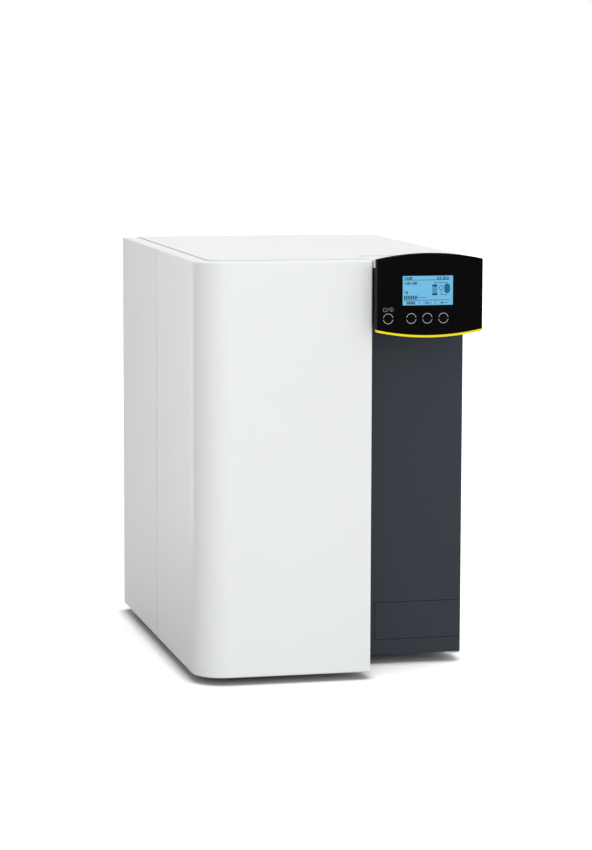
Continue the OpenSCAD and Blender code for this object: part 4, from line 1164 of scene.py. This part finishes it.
inlet = middle_of("mains_inlet")
inlet_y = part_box("mains_inlet")[1][1]
places = [(inlet.x + side * INLET_SIDE * MM, inlet_y, inlet.z) for side in (-1, 1)]
screws("inlet_screws", places, (0, 1, 0))
bpy.data.objects.remove(screw)

# %% [markdown]
# ## Release collars of the water ports
# A push-in port ends in a collar that releases the tube when it is pressed. It is a short sleeve
# round the tube hole: an open cylinder that gets a wall and rounded edges. A small share of its
# height sits in the port.

# %% Release collars
COLLAR_R = 6.2
COLLAR_WALL = 1.9
COLLAR_H = 3.0
COLLAR_ROUND = 0.5
COLLAR_CORNERS = 64
SUNK_SHARE = 0.15

# Acetal of the collars: a lighter grey than the clips, satin
collar_acetal = moulded_plastic(
    "grey_acetal_collar", "#8C9196", "#83888C", roughness=0.35, grain_mm=1.5, relief_mm=0.02
)
for port in ("feed_port", "permeate_port", "drain_port"):
    middle = middle_of(port)
    middle_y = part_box(port)[1][1] + COLLAR_H * (0.5 - SUNK_SHARE) * MM
    bpy.ops.mesh.primitive_cylinder_add(
        vertices=COLLAR_CORNERS, radius=COLLAR_R * MM, depth=COLLAR_H * MM, end_fill_type="NOTHING"
    )
    collar = bpy.context.object
    collar.name = port + "_collar"
    apply_modifier(collar, "SOLIDIFY", thickness=COLLAR_WALL * MM, offset=-1)
    apply_modifier(collar, "BEVEL", width=COLLAR_ROUND * MM, segments=3, limit_method="ANGLE")
    settle(collar, (middle.x, middle_y, middle.z), FACING_FRONT)
    hand_over(collar, "cabinet", collar_acetal)

# %% [markdown]
# ## Signs on the mains rocker
# The two faces of the rocker carry the usual stroke for on and ring for off, pad printed in
# white. The faces slope, so a ray from behind finds the place and the slope of each face, and the
# sign is laid flat on it. The stroke's side is pressed in at rest, as the display is lit.

# %% Rocker signs
ROCKER_SIGN_HALF = 2.1
ROCKER_STROKE = 0.7
ON_RISE = -4.4
OFF_RISE = 3.4
RAY_START = 100

half = ROCKER_STROKE / 2
rocker_signs = {
    "mains_on_sign": (strip(-half, -ROCKER_SIGN_HALF, half, ROCKER_SIGN_HALF), ON_RISE),
    "mains_off_sign": (
        ring(0, 0, ROCKER_SIGN_HALF, ROCKER_SIGN_HALF - ROCKER_STROKE), OFF_RISE,
    ),
}
rocker = frame["nodes"]["mains_rocker"]
for name, (flat_sign, rise) in rocker_signs.items():
    start = middle_of("mains_rocker") + Vector((0, RAY_START, rise)) * MM
    _, place, normal, _ = rocker.ray_cast(start, Vector((0, -1, 0)))
    slope = math.atan2(-normal.z, normal.y)
    sign = printed([flat_sign], name, place, (math.pi / 2 + slope, 0, math.pi))
    hand_over(sign, "rocker", white_ink)
    print("  slope in degrees:", round(math.degrees(slope), 1))

# %% [markdown]
# ## Blades of the mains inlet
# The CAD model makes the inlet's three blades in one piece with its black housing. Real blades
# are plated metal, so a thin metal sleeve covers each one. It starts as a cube that is stretched
# to size, and its edges are rounded.

# %% Inlet blades
BLADE_PLACES = ((-7, -2), (0, 2), (7, -2))
BLADE_SIZE = (2.2, 10, 4.2)
BLADE_SUNK = 8
BLADE_ROUND = 0.4

blades = []
blade_y = inlet_y - (BLADE_SUNK + BLADE_SIZE[1] / 2) * MM
for step_x, step_z in BLADE_PLACES:
    bpy.ops.mesh.primitive_cube_add(size=1)
    blade = bpy.context.object
    blade.scale = [side * MM for side in BLADE_SIZE]
    settle(blade, (inlet.x + step_x * MM, blade_y, inlet.z + step_z * MM))
    apply_modifier(blade, "BEVEL", width=BLADE_ROUND * MM, segments=3)
    blades.append(blade)
hand_over(joined(blades, "mains_inlet_blades"), "cabinet", ground_steel)

# %% [markdown]
# ## Contacts of the data socket
# The data socket is a metal shell, and in it sits a dark insert with two rows of round contacts.
# The insert starts as a flat strip: its lower side is narrowed and its corners are rounded. The
# contacts are rings that lie on it.

# %% Data contacts
INSERT_HALF_W = 7.5
INSERT_HALF_H = 3.2
INSERT_TAPER = 0.8
INSERT_ROUND = 1.2
INSERT_T = 0.4
CONTACT_ROWS = ((5, 1.3), (4, -1.3))
CONTACT_PITCH = 2.7
CONTACT_R = 0.85
CONTACT_HOLE = 0.4
CONTACT_CORNERS = 24
CONTACT_T = 0.2

insert = strip(-INSERT_HALF_W, -INSERT_HALF_H, INSERT_HALF_W, INSERT_HALF_H)
bpy.ops.object.mode_set(mode="EDIT")
bpy.ops.mesh.select_mode(type="VERT")
mesh = bmesh.from_edit_mesh(insert.data)
for vertex in mesh.verts:
    vertex.select_set(vertex.co.y < 0)
bmesh.update_edit_mesh(insert.data)
bpy.ops.transform.resize(value=(INSERT_TAPER, 1, 1))
bpy.ops.mesh.select_all(action="SELECT")
bpy.ops.mesh.bevel(offset=INSERT_ROUND * MM, segments=4, affect="VERTICES")
bpy.ops.object.mode_set(mode="OBJECT")

shell = middle_of("data_socket")
shell.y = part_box("data_socket")[1][1]
insert = printed([insert], "data_socket_insert", shell, FACING_REAR, INSERT_T)
hand_over(insert, "cabinet", black_pbt)

contacts = []
for count, row in CONTACT_ROWS:
    for i in range(count):
        u = (i - (count - 1) / 2) * CONTACT_PITCH
        contacts.append(ring(u, row, CONTACT_R, CONTACT_HOLE, corners=CONTACT_CORNERS))
shell.y += INSERT_T * MM
contacts = printed(contacts, "data_socket_contacts", shell, FACING_REAR, CONTACT_T)
hand_over(contacts, "cabinet", turned_brass)

# %% [markdown]
# ## The end
# Last, nothing is left selected.

# %% The end
bpy.ops.object.select_all(action="DESELECT")
